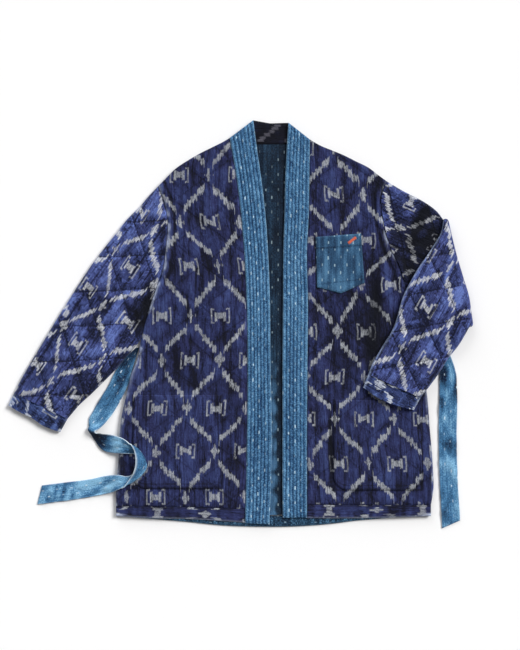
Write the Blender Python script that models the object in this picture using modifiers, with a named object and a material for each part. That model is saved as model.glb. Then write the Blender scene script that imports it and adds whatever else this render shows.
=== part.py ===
"""A hanten: a short padded jacket of woven cotton, laid flat on its back.

The wearer's right sleeve lies out beside the body and the left one is folded back over the front.
Each piece that a maker cuts and sews on is one closed solid. All lengths here are millimetres.
The frame has +Z up from the surface, +Y towards the neck and +X towards the wearer's left side,
with the origin on the surface under the middle of the outline. "Right" and "left" are the wearer's.
"""
import math

import bmesh
import bpy
import numpy as np

MM = 0.001

# Thickness of the cloth
WALL = 4.5             # padded cloth, sewn down at a quilting line
PUFF = 2.0             # how far a quilted field rises above its lines
GAP = 0.3              # between two layers that lie on each other
SEAM = 0.8             # between two edges that are sewn together
BAND_WALL = 4.6        # collar band, in the groove between two ribs
RIB = 1.4              # how far a rib of the collar rises
POCKET_WALL = 2.2
POCKET_PUFF = 0.6
TIE_WALL = 2.0
SLIT = 0.8             # space left inside a flattened sleeve
ROUND = 8.0            # width of a padded edge's rounding
HEM = 29.0             # depth of the cuffs and of the lower hem

# Heights above the surface
FRONT_UNDER = WALL + GAP
POCKET_UNDER = FRONT_UNDER + WALL + 1.0 + GAP
FRONT_TOP = FRONT_UNDER + WALL + PUFF
SLEEVE_HEIGHT = 2 * WALL + GAP

# Quilting: two slanting families of stitch lines and one along the grain
QUILT_SLANT = math.radians(37.0)
QUILT_STEP = 68.0
QUILT_GRAIN_STEP = QUILT_STEP / 2 / math.sin(QUILT_SLANT)
QUILT_VALLEY = 12.0
QUILT_ORIGIN = (-190.0, -137.0)

CELL = 16.0            # spacing of the points on a quilted face
EDGE_STEPS = (0.0, 2.5, ROUND)
INNER_COUNT = 10       # points across a sleeve's inner faces
MERGE = 0.02
TINY = 1e-9

# Seams and edges, in order from below to above or from the wearer's right to left: columns x, y
SIDE_RIGHT = [(-250, -364), (-250, -334), (-245, -266), (-243, -218), (-238, -178),
              (-230, -144), (-220, -102), (-207, -68), (-200, -30)]
ARMHOLE_RIGHT = [(-200, -30), (-192, 2), (-179, 46), (-166, 82), (-156, 114),
                 (-150, 162), (-147, 206), (-154, 244), (-166, 276)]
SHOULDER_RIGHT = [(-166, 276), (-154, 288), (-130, 312), (-106, 328), (-82, 342),
                  (-58, 354), (-34, 366), (-23, 372)]
SIDE_LEFT = [(380, -362), (385, -330), (384, -284), (378, -212), (370, -124), (354, -55), (342, -12)]
ARMHOLE_LEFT = [(342, -12), (338, 30), (332, 66), (327, 82), (318, 114), (302, 146),
                (292, 176), (284, 212), (281, 256), (292, 286)]
BODY_EDGE_RIGHT = SIDE_RIGHT + ARMHOLE_RIGHT[1:]
BODY_EDGE_LEFT = SIDE_LEFT + ARMHOLE_LEFT[1:]
SHOULDER_LEFT = [(138, 370), (158, 358), (182, 348), (206, 338), (230, 326), (254, 314),
                 (278, 296), (292, 286)]
HEM_SEAM_RIGHT = [(-250, -364), (-100, -366), (8, -370)]
HEM_SEAM_LEFT = [(132, -361), (260, -362), (380, -362)]
HEM_EDGE_RIGHT = [(-250, -384), (-182, -388), (-102, -390), (8, -397)]
HEM_EDGE_LEFT = [(132, -388), (200, -388.5), (300, -387), (378, -384)]
BACK_HEM_SEAM = [(-250, -366), (-100, -376), (64, -384), (230, -374), (380, -364)]
BACK_HEM_EDGE = [(-250, -384), (-202, -388), (-106, -396), (-34, -403), (38, -405.5), (86, -405.5),
                 (134, -403.5), (182, -399.5), (230, -393.5), (278, -389.5), (326, -385.5), (378, -384)]
NECK_SEAM = 360.0

# Collar bands, a row for each height: columns outer x, outer y, inner x, inner y
BAND_RIGHT = [(8, -398, 57, -400.5), (9.5, -334, 59.5, -334), (12, -208, 61.5, -208),
              (13, -80, 59, -80), (11, 48, 58, 48), (6, 148, 54, 148), (0, 218, 49, 219),
              (-9, 292, 40, 296), (-17, 340, 32, 352), (-23, 372.5, 24.6, 408.5)]
BAND_LEFT = [(132, -387, 83.5, -387), (132, -334, 83, -334), (132, -208, 83, -208),
             (133, -80, 83, -80), (134, 48, 84, 48), (132, 148, 84.6, 148), (135.6, 218, 87, 219),
             (136.8, 292, 88.5, 290), (137.5, 340, 91.5, 352), (138, 369.5, 94.8, 403.5)]
RIBS = 7

# Back of the collar, round its outline: columns x, y
COLLAR_BACK = [(-19.2, NECK_SEAM + SEAM), (136.7, NECK_SEAM + SEAM), (137.3, 369.8), (94.8, 403.5),
               (58, 402.5), (24.6, 408.5), (-22.2, 372.8)]

# Right sleeve: upper edge and lower edge from the armhole to the cuff's end, then the end itself
SLEEVE_RIGHT_TOP = [(-166, 276), (-178, 264), (-202, 236), (-226, 212), (-250, 182), (-274, 152),
                    (-298, 120), (-322, 84), (-346, 46), (-370, 8), (-394, -32), (-418, -72),
                    (-442, -114), (-454, -138)]
SLEEVE_RIGHT_LOW = [(-200, -30), (-206, -38), (-228, -64), (-254, -94), (-274, -114),
                    (-298, -138), (-322, -160), (-347, -189)]
CUFF_RIGHT_END = [(-466, -162), (-442, -176), (-418, -188), (-394, -204), (-362, -216)]

# Left sleeve: the fold, then the edges of the upper arm below it and of the forearm on top
FOLD = [(414, 212), (422, 176), (432, 136), (444, 96), (456, 56), (462, 16), (465, -4)]
FOLD_OUTWARD = (0.973, 0.230)
UPPER_ARM_TOP = [(292, 286), (302, 280), (326, 266), (350, 254), (374, 240), (392, 226)]
UPPER_ARM_LOW = [(342, -12), (398, -14), (446, -9)]
FOREARM_INNER = [(400, 186), (381, 152.5), (349, 104.5), (324, 56.5), (304, -7.5), (280, -47.5),
                 (260, -83.5), (254, -99.5)]
FOREARM_OUTER = [(446, -24), (434, -44), (418, -64), (396, -98), (370, -132), (358, -147)]
CUFF_LEFT_END = [(244, -126), (282, -152), (325, -166), (345, -171)]
FOLD_REACH = 64.0      # how far from the fold the cloth is pressed smooth
FOREARM_REST = 0.5     # clearance of the forearm over what it lies on
DRAPE_SLOPE = 0.25     # how fast it comes down past an edge

# Which way the cloth of each sleeve runs
SLEEVE_RIGHT_GRAIN = (-0.565, -0.825)
UPPER_ARM_GRAIN = (0.914, -0.406)
FOREARM_GRAIN = (-0.449, -0.893)

# Pockets
CHEST_POCKET_LEFT = [(152, 73.5), (150.5, 124), (149, 174.5)]
CHEST_POCKET_RIGHT = [(247, 82.5), (243.5, 132), (240, 181.5)]
CHEST_POCKET_POINT = (200, 61.5)
HIP_POCKET_RIGHT = (-216.0, -38.0, -328.5, -141.5)    # x from, x to, y from, y to
HIP_POCKET_LEFT = (186.0, 362.0, -331.5, -151.5)
HIP_POCKET_CORNER = 26.0
POCKET_MARGIN = 6.0

# Ties, a row for each section of the ribbon's middle plane: columns x, y, z of the near edge,
# of the middle and of the far edge
TIE_RIGHT = [
    ((-203.9, -47, 1), (-207, -47, 1), (-210.5, -47, 1)),
    ((-210, -65, 1), (-215.5, -63.5, 1), (-221, -62, 1)),
    ((-219.2, -97, 1), (-233.5, -95, 1), (-248, -93, 1)),
    ((-226.5, -121.5, 1), (-244.7, -119.5, 1), (-263, -117.5, 1)),
    ((-243, -155.5, 1), (-261.5, -150.5, 1), (-280, -145.5, 1)),
    ((-262, -185.5, 2), (-279, -180, 1.2), (-296, -173.5, 1)),
    ((-280, -206.5, 7), (-293, -201, 3), (-305, -195.5, 1.2)),
    ((-291, -214.5, 14), (-305, -211, 8), (-299, -217.5, 1.5)),
    ((-282, -218.5, 12), (-289, -225, 6), (-292, -233.5, 1.2)),
    ((-262, -220.5, 12), (-270, -236, 6), (-276, -252.5, 2)),
    ((-241, -225.5, 19), (-246, -240.5, 14), (-250, -257.5, 10)),
    ((-225, -234.5, 24), (-224, -245.5, 18.5), (-228, -258.5, 15)),
    ((-215, -247.5, 26), (-204, -251.5, 19), (-213, -259.5, 15.2)),
    ((-210.4, -261.5, 27), (-193, -266.5, 19), (-204, -269.5, 15.2)),
    ((-210, -278.5, 27), (-190, -281.5, 19), (-202, -280.5, 15.2)),
    ((-214, -293.5, 26), (-199, -299.5, 19), (-209, -292.5, 15.2)),
    ((-222, -308.5, 23), (-215, -313.5, 18), (-220, -301.5, 15.2)),
    ((-237, -325.5, 18), (-231, -318.5, 16.5), (-230, -303.5, 15)),
    ((-254, -334.5, 9), (-249, -317.5, 12), (-245, -301, 13.5)),
    ((-276, -340.5, 2.5), (-274, -322, 3.5), (-272, -304, 5)),
    ((-306, -346.5, 1), (-304, -328.5, 1), (-302, -310.5, 1.2)),
    ((-358, -354.5, 1), (-355, -336, 1), (-352, -317, 1)),
    ((-408, -361, 1), (-403.5, -342, 1), (-398.5, -323, 1)),
]
TIE_LEFT = [
    ((351.4, -41.5, 1), (355.7, -57.5, 1), (360.4, -73.5, 1)),
    ((378, -35.5, 1), (380, -52.5, 1), (382, -69.5, 1)),
    ((400, -38.5, 1), (396.5, -57, 1), (393, -75.5, 1)),
    ((414, -53, 1), (405, -70, 1), (396, -86, 1)),
    ((424, -75, 1), (411, -85.5, 1), (397.5, -96, 1)),
    ((430, -94, 1), (414, -100, 1), (397.6, -106, 1)),
    ((432.6, -129.5, 1), (415, -130.5, 1), (397.2, -131.5, 1)),
    ((432, -223.5, 1), (414, -223.5, 1), (396, -223.5, 1)),
    ((434, -311.5, 1), (416, -313.5, 1), (398, -315.5, 1)),
    ((439, -393, 1), (421, -401, 1), (403, -409, 1)),
]
TIE_STEP = 12.0
TIE_ACROSS = 6


def material(name, colour, roughness):
    """A plain cloth finish."""
    finish = bpy.data.materials.new(name)
    finish.use_nodes = True
    shader = finish.node_tree.nodes["Principled BSDF"]
    shader.inputs["Base Color"].default_value = (*colour, 1.0)
    shader.inputs["Roughness"].default_value = roughness
    shader.inputs["Metallic"].default_value = 0.0
    return finish


def curve(points, fractions, straight=False):
    """Points on a line through a table's rows, read at fractions of its length."""
    rows = np.array(points, float)
    steps = np.linalg.norm(np.diff(rows, axis=0), axis=1)
    knots = np.concatenate([[0.0], np.cumsum(steps)]) / steps.sum()
    wanted = np.clip(np.asarray(fractions, float), 0.0, 1.0)
    if straight:
        return np.stack([np.interp(wanted, knots, column) for column in rows.T], axis=-1)
    slopes = np.gradient(rows, knots, axis=0)
    index = np.clip(np.searchsorted(knots, wanted, side="right") - 1, 0, len(knots) - 2)
    width = (knots[index + 1] - knots[index])[:, None]
    t = (wanted - knots[index])[:, None] / width
    start, end = rows[index], rows[index + 1]
    leave, arrive = slopes[index] * width, slopes[index + 1] * width
    return ((2 * t ** 3 - 3 * t ** 2 + 1) * start + (t ** 3 - 2 * t ** 2 + t) * leave
            + (3 * t ** 2 - 2 * t ** 3) * end + (t ** 3 - t ** 2) * arrive)


def length(points):
    """Length of a table's line."""
    return float(np.linalg.norm(np.diff(np.array(points, float), axis=0), axis=1).sum())


def sampled(points):
    """A table's curve as points about a cell apart."""
    return curve(points, np.linspace(0.0, 1.0, round(length(points) / CELL) + 1))


def patch(low, high, left, right, across, up, straight=False):
    """Points of a four-sided piece, from its four edges: an array [up, across, 2]."""
    a = np.asarray(across, float)[None, :, None]
    u = np.asarray(up, float)[:, None, None]
    low_line = curve(low, across, straight)[None, :, :]
    high_line = curve(high, across, straight)[None, :, :]
    left_line = curve(left, up, straight)[:, None, :]
    right_line = curve(right, up, straight)[:, None, :]
    corners = ((1 - a) * (1 - u) * low_line[:, :1] + a * (1 - u) * low_line[:, -1:]
               + (1 - a) * u * high_line[:, :1] + a * u * high_line[:, -1:])
    return (1 - u) * low_line + u * high_line + (1 - a) * left_line + a * right_line - corners


def spaced(size, cell):
    """Fractions of a size: close together at both edges, a cell apart between them."""
    inner = np.linspace(EDGE_STEPS[-1], size - EDGE_STEPS[-1], max(2, round(size / cell)))
    near = np.array(EDGE_STEPS[:-1])
    return np.concatenate([near, inner, size - near[::-1]]) / size


def edge_rise(distance):
    """Height of a rounded edge, from 0 on the edge to 1 where the cloth is full."""
    inward = np.clip(np.asarray(distance, float) / ROUND, 0.0, 1.0)
    return np.sqrt(1.0 - (1.0 - inward) ** 2)


def quilting(across, along):
    """Height of the quilting, 0 on a stitch line and 1 in a field, from cloth coordinates."""
    slant = across * math.sin(QUILT_SLANT)
    climb = along * math.cos(QUILT_SLANT)
    families = ((slant + climb, QUILT_STEP), (slant - climb, QUILT_STEP), (across, QUILT_GRAIN_STEP))
    nearest = np.min([np.abs(value - step * np.round(value / step)) for value, step in families], axis=0)
    return 1.0 - np.exp(-(nearest / QUILT_VALLEY) ** 2)


def distance_to_line(points, x, y):
    """Distance from places in the plan to a line through points."""
    nearest = np.full(np.shape(x), np.inf)
    for (x0, y0), (x1, y1) in zip(points, points[1:]):
        run, rise = x1 - x0, y1 - y0
        square = max(run * run + rise * rise, TINY)
        share = np.clip(((x - x0) * run + (y - y0) * rise) / square, 0.0, 1.0)
        nearest = np.minimum(nearest, np.hypot(x - x0 - share * run, y - y0 - share * rise))
    return nearest


def distance_outside(outline, x, y):
    """Distance from places in the plan to a closed outline, 0 inside it."""
    closed = list(outline) + [outline[0]]
    crossings = np.zeros(np.shape(x), int)
    for (x0, y0), (x1, y1) in zip(closed, closed[1:]):
        if y0 != y1:
            crossings += ((y0 > y) != (y1 > y)) & (x < x0 + (y - y0) * (x1 - x0) / (y1 - y0))
    return np.where(crossings % 2 == 1, 0.0, distance_to_line(closed, x, y))


def rectangle(corners):
    """Outline of an upright rectangle given as x from, x to, y from, y to."""
    x0, x1, y0, y1 = corners
    return [(x0, y0), (x1, y0), (x1, y1), (x0, y1)]


def make(name, mesh_data, finish):
    """Finish a bmesh as an object whose faces point out."""
    bmesh.ops.recalc_face_normals(mesh_data, faces=mesh_data.faces)
    mesh = bpy.data.meshes.new(name)
    mesh_data.to_mesh(mesh)
    mesh_data.free()
    mesh.materials.append(finish)
    mesh.shade_smooth()
    mesh.set_sharp_from_angle(angle=math.radians(50))
    piece = bpy.data.objects.new(name, mesh)
    garment.objects.link(piece)
    return piece


def place(mesh_data, points):
    """Vertices at points given in millimetres."""
    return [mesh_data.verts.new((x * MM, y * MM, z * MM)) for x, y, z in points]


def border(rows):
    """The rim of a grid of vertices, once round."""
    right = [row[-1] for row in rows[1:-1]]
    left = [row[0] for row in rows[1:-1]]
    return list(rows[0]) + right + list(rows[-1][::-1]) + left[::-1]


def padded_sheet(name, plan, under, top, finish):
    """A closed solid over a grid of plan points, with a flat underside and a shaped top."""
    solid = bmesh.new()
    rows = []
    for line, heights in zip(plan, top):
        rows.append(place(solid, [(x, y, z) for (x, y), z in zip(line, heights)]))
    for row, above in zip(rows, rows[1:]):
        for corner in range(len(row) - 1):
            solid.faces.new((row[corner], row[corner + 1], above[corner + 1], above[corner]))
    rim = border(rows)
    foot = [solid.verts.new((vertex.co.x, vertex.co.y, under * MM)) for vertex in rim]
    for index in range(len(rim)):
        after = (index + 1) % len(rim)
        solid.faces.new((rim[index], foot[index], foot[after], rim[after]))
    solid.faces.new(foot)
    return make(name, solid, finish)


def edge_distance(plan):
    """Distance of each grid point from the piece's edge, measured along the grid."""
    across = np.linalg.norm(np.diff(plan, axis=1), axis=2).cumsum(axis=1)
    across = np.concatenate([np.zeros((len(plan), 1)), across], axis=1)
    up = np.linalg.norm(np.diff(plan, axis=0), axis=2).cumsum(axis=0)
    up = np.concatenate([np.zeros((1, plan.shape[1])), up], axis=0)
    return np.min([across, across[:, -1:] - across, up, up[-1:] - up], axis=0)


def front(name, low, high, left, right, pockets, finish):
    """A front: quilted, and even in height where a pocket is sewn on."""
    across = spaced(length(low), CELL)
    up = spaced(length(left), CELL)
    plan = patch(low, high, left, right, across, up)
    x, y = plan[..., 0], plan[..., 1]
    relief = PUFF * quilting(x - QUILT_ORIGIN[0], y - QUILT_ORIGIN[1])
    for outline in pockets:
        under_pocket = distance_outside(outline, x, y) < POCKET_MARGIN + CELL / 2
        relief = np.where(under_pocket, POCKET_UNDER - GAP - FRONT_UNDER - WALL, relief)
    rise = edge_rise(edge_distance(plan))
    top = FRONT_UNDER + WALL / 2 + (WALL / 2 + relief) * rise
    padded_sheet(name, plan, FRONT_UNDER, top, finish)


def strip(name, low, high, left, right, under, finish, cell=3 * CELL):
    """A hem: a narrow padded strip."""
    across = spaced(length(low), cell)
    up = np.array([0.0, 0.2, 0.5, 0.8, 1.0])
    plan = patch(low, high, left, right, across, up)
    rise = edge_rise(edge_distance(plan) * 1.5)
    padded_sheet(name, plan, under, under + WALL / 2 + WALL / 2 * rise, finish)


def band(name, table, finish):
    """A side of the collar: a padded band with ribs along it."""
    rows = np.array(table, float)
    up = np.linspace(0.0, 1.0, 2 * len(table))
    outer, inner = curve(rows[:, :2], up), curve(rows[:, 2:], up)
    phase = np.linspace(0.0, RIBS, 2 * RIBS + 1)
    share = np.concatenate([[0.0, 0.02], (phase / RIBS)[1:-1], [0.98, 1.0]])
    ribs = np.abs(np.sin(np.pi * share * RIBS))
    rise = np.where((share == 0.0) | (share == 1.0), 0.5, 0.93 + 0.07 * ribs)
    plan = outer[:, None, :] * (1 - share[None, :, None]) + inner[:, None, :] * share[None, :, None]
    top = FRONT_UNDER + BAND_WALL * rise + RIB * ribs
    padded_sheet(name, plan, FRONT_UNDER, np.repeat(top[None, :], len(up), axis=0), finish)


def flat_piece(name, outline, under, wall, finish):
    """A flat piece from its outline."""
    data = bpy.data.curves.new(name, "CURVE")
    data.dimensions = "2D"
    data.fill_mode = "BOTH"
    data.extrude = wall / 2 * MM
    line = data.splines.new("POLY")
    line.points.add(len(outline) - 1)
    for point, (x, y) in zip(line.points, outline):
        point.co = (x * MM, y * MM, 0.0, 1.0)
    line.use_cyclic_u = True
    guide = bpy.data.objects.new(name + "_outline", data)
    garment.objects.link(guide)
    bpy.context.view_layer.update()
    shown = guide.evaluated_get(bpy.context.evaluated_depsgraph_get())
    solid = bmesh.new()
    solid.from_mesh(bpy.data.meshes.new_from_object(shown))
    bpy.data.objects.remove(guide)
    bmesh.ops.remove_doubles(solid, verts=solid.verts, dist=MERGE * MM)
    bmesh.ops.translate(solid, verts=solid.verts, vec=(0.0, 0.0, (under + wall / 2) * MM))
    return make(name, solid, finish)


def patch_pocket(name, corners, finish):
    """A hip pocket: a padded square with two round lower corners."""
    x0, x1, y0, y1 = corners
    r = HIP_POCKET_CORNER
    turn = [math.radians(angle) for angle in (180, 210, 240, 270)]
    low = [(x0 + r + r * math.cos(a), y0 + r + r * math.sin(a)) for a in turn]
    low += [(x1 - r - r * math.cos(a), y0 + r + r * math.sin(a)) for a in reversed(turn)]
    left = [(x0, y0 + r), (x0, y1)]
    right = [(x1, y0 + r), (x1, y1)]
    across = spaced(length(low), 1.2 * CELL)
    up = spaced(y1 - y0 - r, 1.2 * CELL)
    plan = patch(low, [(x0, y1), (x1, y1)], left, right, across, up, straight=True)
    relief = POCKET_PUFF * quilting(plan[..., 0] - QUILT_ORIGIN[0], plan[..., 1] - QUILT_ORIGIN[1])
    rise = edge_rise(edge_distance(plan) * 2)
    top = POCKET_UNDER + POCKET_WALL / 2 + (POCKET_WALL / 2 + relief) * rise
    padded_sheet(name, plan, POCKET_UNDER, top, finish)


def chest_pocket(finish):
    """The chest pocket: plain cloth with a pointed lower edge and a turned upper hem."""
    low = [CHEST_POCKET_LEFT[0], CHEST_POCKET_POINT, CHEST_POCKET_RIGHT[0]]
    high = [CHEST_POCKET_LEFT[-1], CHEST_POCKET_RIGHT[-1]]
    across = np.array([0.0, 0.03, 0.25, 0.5, 0.75, 0.97, 1.0])
    up = np.array([0.0, 0.03, 0.3, 0.6, 0.8, 0.82, 0.97, 1.0])
    plan = patch(low, high, CHEST_POCKET_LEFT, CHEST_POCKET_RIGHT, across, up, straight=True)
    rise = edge_rise(edge_distance(plan) * 2.5)
    hem_rise = np.where(up > 0.81, POCKET_PUFF, 0.0)[:, None]
    top = POCKET_UNDER + POCKET_WALL / 2 + (POCKET_WALL / 2 + hem_rise) * rise
    padded_sheet("chest_pocket", plan, POCKET_UNDER, top, finish)


def zipper(solid, first, second):
    """Triangles between two rows of vertices that run the same way."""
    near = np.linspace(0.0, 1.0, len(first))
    far = np.linspace(0.0, 1.0, len(second))
    i = j = 0
    while i < len(first) - 1 or j < len(second) - 1:
        step_first = j == len(second) - 1 or (i < len(first) - 1 and near[i + 1] <= far[j + 1])
        if step_first:
            solid.faces.new((first[i], first[i + 1], second[j]))
            i += 1
        else:
            solid.faces.new((first[i], second[j + 1], second[j]))
            j += 1


def tube(name, rings, finish):
    """A flattened tube. A ring has four rows from edge to edge: face, back and the two inner faces."""
    solid = bmesh.new()
    rows = []
    for face, back, inner_face, inner_back in rings:
        outer_face = place(solid, face)
        outer_back = [outer_face[0]] + place(solid, back[1:-1]) + [outer_face[-1]]
        slit_face = place(solid, inner_face)
        slit_back = [slit_face[0]] + place(solid, inner_back[1:-1]) + [slit_face[-1]]
        rows.append((outer_face, outer_back, slit_face, slit_back))
    for ring, following in zip(rows, rows[1:]):
        for row, after in zip(ring, following):
            for index in range(len(row) - 1):
                solid.faces.new((row[index], row[index + 1], after[index + 1], after[index]))
    for ring in (rows[0], rows[-1]):
        zipper(solid, ring[0], ring[2])
        zipper(solid, ring[1], ring[3])
    return make(name, solid, finish)


def face_shares(width, count):
    """Fractions across a sleeve: close together at both edges and even between them."""
    near = np.array(EDGE_STEPS[:-1]) / width
    inner = np.linspace(ROUND / width, 1.0 - ROUND / width, count)
    return np.concatenate([near, inner, 1.0 - near[::-1]])


def ring(line, centre, toward, reliefs, counts):
    """One ring of a sleeve.

    line(shares) gives plan points from edge to edge, centre(points) the middle plane there, toward
    is the direction of the tube's face, and reliefs and counts are for its face and its back.
    """
    width = length(line(np.linspace(0.0, 1.0, 12)))
    inset = (WALL + SLIT) / width
    toward = np.array(toward, float)
    rows = []
    for side, relief, count in zip((1.0, -1.0), reliefs, counts):
        shares = face_shares(width, count)
        points = line(shares)
        rise = edge_rise(np.minimum(shares, 1.0 - shares) * width)
        offset = side * (SLEEVE_HEIGHT / 2 + relief(points)) * rise
        rows.append(centre(points) + offset[:, None] * toward)
    for side in (1.0, -1.0):
        shares = face_shares(width, INNER_COUNT)
        points = line(inset + shares * (1.0 - 2.0 * inset))
        offset = side * SLIT / 2 * edge_rise(np.minimum(shares, 1.0 - shares) * width)
        rows.append(centre(points) + offset[:, None] * toward)
    return rows


def slab(sides, centre, toward, reliefs, counts, cell=CELL):
    """Rings of a stretch of sleeve that lies flat, from the plan's four sides."""
    span = max(length(sides[2]), length(sides[3]))
    rings = []
    for up in np.linspace(0.0, 1.0, max(2, round(span / cell))):
        def line(shares, up=up):
            return patch(*sides, shares, [up])[0]
        rings.append(ring(line, centre, toward, reliefs, counts))
    return rings


def shifted(points, move):
    """A table's rows, moved."""
    return [(x + move[0], y + move[1]) for x, y in points]


def four_sides(low, high, left, right):
    """The four sides of a plan, with the ends of the long sides set on the two others."""
    return low, high, [low[0]] + left + [high[0]], [low[-1]] + right + [high[-1]]


def raised(origin, grain, fade=None):
    """Quilting relief of a sleeve whose cloth runs along a direction."""
    def relief(points):
        x, y = points[:, 0] - origin[0], points[:, 1] - origin[1]
        height = PUFF * quilting(x * -grain[1] + y * grain[0], x * grain[0] + y * grain[1])
        return height * fade(points) if fade else height
    return relief


def level(points):
    """No relief."""
    return np.zeros(len(points))


def on_surface(points):
    """Middle plane of a sleeve that lies on the surface."""
    return np.column_stack([points, np.full(len(points), SLEEVE_HEIGHT / 2)])


def from_fold(points):
    """How far into the cloth points lie from the fold of the left sleeve, from 0 to 1."""
    distance = distance_to_line(FOLD, points[:, 0], points[:, 1])
    share = np.clip(distance / FOLD_REACH, 0.0, 1.0)
    return share * share * (3.0 - 2.0 * share)


def forearm_middle(points):
    """Middle plane of the forearm, which lies on the front, the pocket, the upper arm and the tie."""
    x, y = points[:, 0], points[:, 1]
    body = SIDE_LEFT + ARMHOLE_LEFT[1:] + [(138, 370), (132, -362)]
    upper_arm = ARMHOLE_LEFT[::-1] + UPPER_ARM_LOW + FOLD[::-1] + UPPER_ARM_TOP[::-1]
    pocket_top = POCKET_UNDER + POCKET_WALL + POCKET_PUFF
    supports = ((body, FRONT_TOP), (upper_arm, FRONT_TOP), (rectangle(HIP_POCKET_LEFT), pocket_top))
    rest = np.full(len(points), TIE_WALL + GAP)
    for outline, height in supports:
        rest = np.maximum(rest, height - DRAPE_SLOPE * distance_outside(outline, x, y))
    at_fold = SLEEVE_HEIGHT + SLIT
    near = from_fold(points)
    under = at_fold * (1.0 - near) + (rest + FOREARM_REST) * near
    return np.column_stack([points, under + SLEEVE_HEIGHT / 2])


def folded_sleeve(finish):
    """The left sleeve: upper arm on the surface, the fold, and the forearm back over the front."""
    outward = np.array([*FOLD_OUTWARD, 0.0])
    turn = SLEEVE_HEIGHT + SLIT / 2
    bend = (SLEEVE_HEIGHT + SLIT) / 2
    fold = shifted(FOLD, (-turn * FOLD_OUTWARD[0], -turn * FOLD_OUTWARD[1]))
    armhole = shifted(ARMHOLE_LEFT[::-1], (SEAM, 0.0))
    cuff_seam = [FOREARM_INNER[-1], FOREARM_OUTER[-1]]
    counts = (12, 14)
    upper_relief = raised(ARMHOLE_LEFT[-1], UPPER_ARM_GRAIN, from_fold)
    forearm_relief = raised(FOLD[0], FOREARM_GRAIN, from_fold)
    upper_sides = four_sides(armhole, fold, UPPER_ARM_TOP[1:], UPPER_ARM_LOW[1:])
    rings = slab(upper_sides, on_surface, (0, 0, 1), (upper_relief, level), counts)
    for angle in np.radians([30, 60, 90, 120, 150]):
        move = bend * math.sin(angle) * outward
        height = turn - bend * math.cos(angle)

        def centre(points, move=move, height=height):
            return np.column_stack([points, np.full(len(points), height)]) + move
        toward = math.cos(angle) * np.array([0.0, 0.0, 1.0]) - math.sin(angle) * outward
        rings.append(ring(lambda shares: curve(fold, shares), centre, toward, (level, level), counts))
    forearm_sides = four_sides(fold, cuff_seam, FOREARM_INNER[:-1], FOREARM_OUTER[:-1])
    rings += slab(forearm_sides, forearm_middle, (0, 0, -1), (level, forearm_relief), counts)
    tube("sleeve_left", rings, finish)


def cuff(name, seam, end, grain, centre, toward, relief, counts, finish):
    """A cuff: a short tube beyond the sleeve's end."""
    start = shifted(seam, (SEAM * grain[0], SEAM * grain[1]))
    sides = (start, end, [start[0], end[0]], [start[-1], end[-1]])
    rings = slab(sides, centre, toward, relief, counts, cell=HEM / 3)
    tube(name, rings, finish)


def tie(name, table, finish):
    """A tie: a ribbon through its sections, thickened on both sides of its middle plane."""
    rows = np.array(table, float).reshape(len(table), 9)
    count = round(length(rows[:, 3:6]) / TIE_STEP)
    sections = curve(rows, np.linspace(0.0, 1.0, count)).reshape(count, 3, 3)
    share = np.linspace(0.0, 1.0, TIE_ACROSS + 1)[None, :, None]
    near, middle, far = (sections[:, None, column] for column in range(3))
    grid = (near * (2 * share - 1) * (share - 1) + middle * 4 * share * (1 - share)
            + far * share * (2 * share - 1))
    sheet = bmesh.new()
    lines = [place(sheet, line) for line in grid]
    for line, after in zip(lines, lines[1:]):
        for corner in range(TIE_ACROSS):
            sheet.faces.new((line[corner], line[corner + 1], after[corner + 1], after[corner]))
    piece = make(name, sheet, finish)
    thicken = piece.modifiers.new("thickness", "SOLIDIFY")
    thicken.thickness = TIE_WALL * MM
    thicken.offset = 0.0


for item in list(bpy.data.objects):
    bpy.data.objects.remove(item)
garment = bpy.data.collections.new("hanten")
bpy.context.scene.collection.children.link(garment)

KASURI = material("kasuri", (0.05, 0.06, 0.16), 0.9)
STRIPE_BLUE = material("collar_cloth", (0.08, 0.20, 0.36), 0.85)
LINING = material("lining", (0.03, 0.07, 0.13), 0.85)
TIE_BLUE = material("tie_cloth", (0.10, 0.24, 0.42), 0.85)

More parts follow.
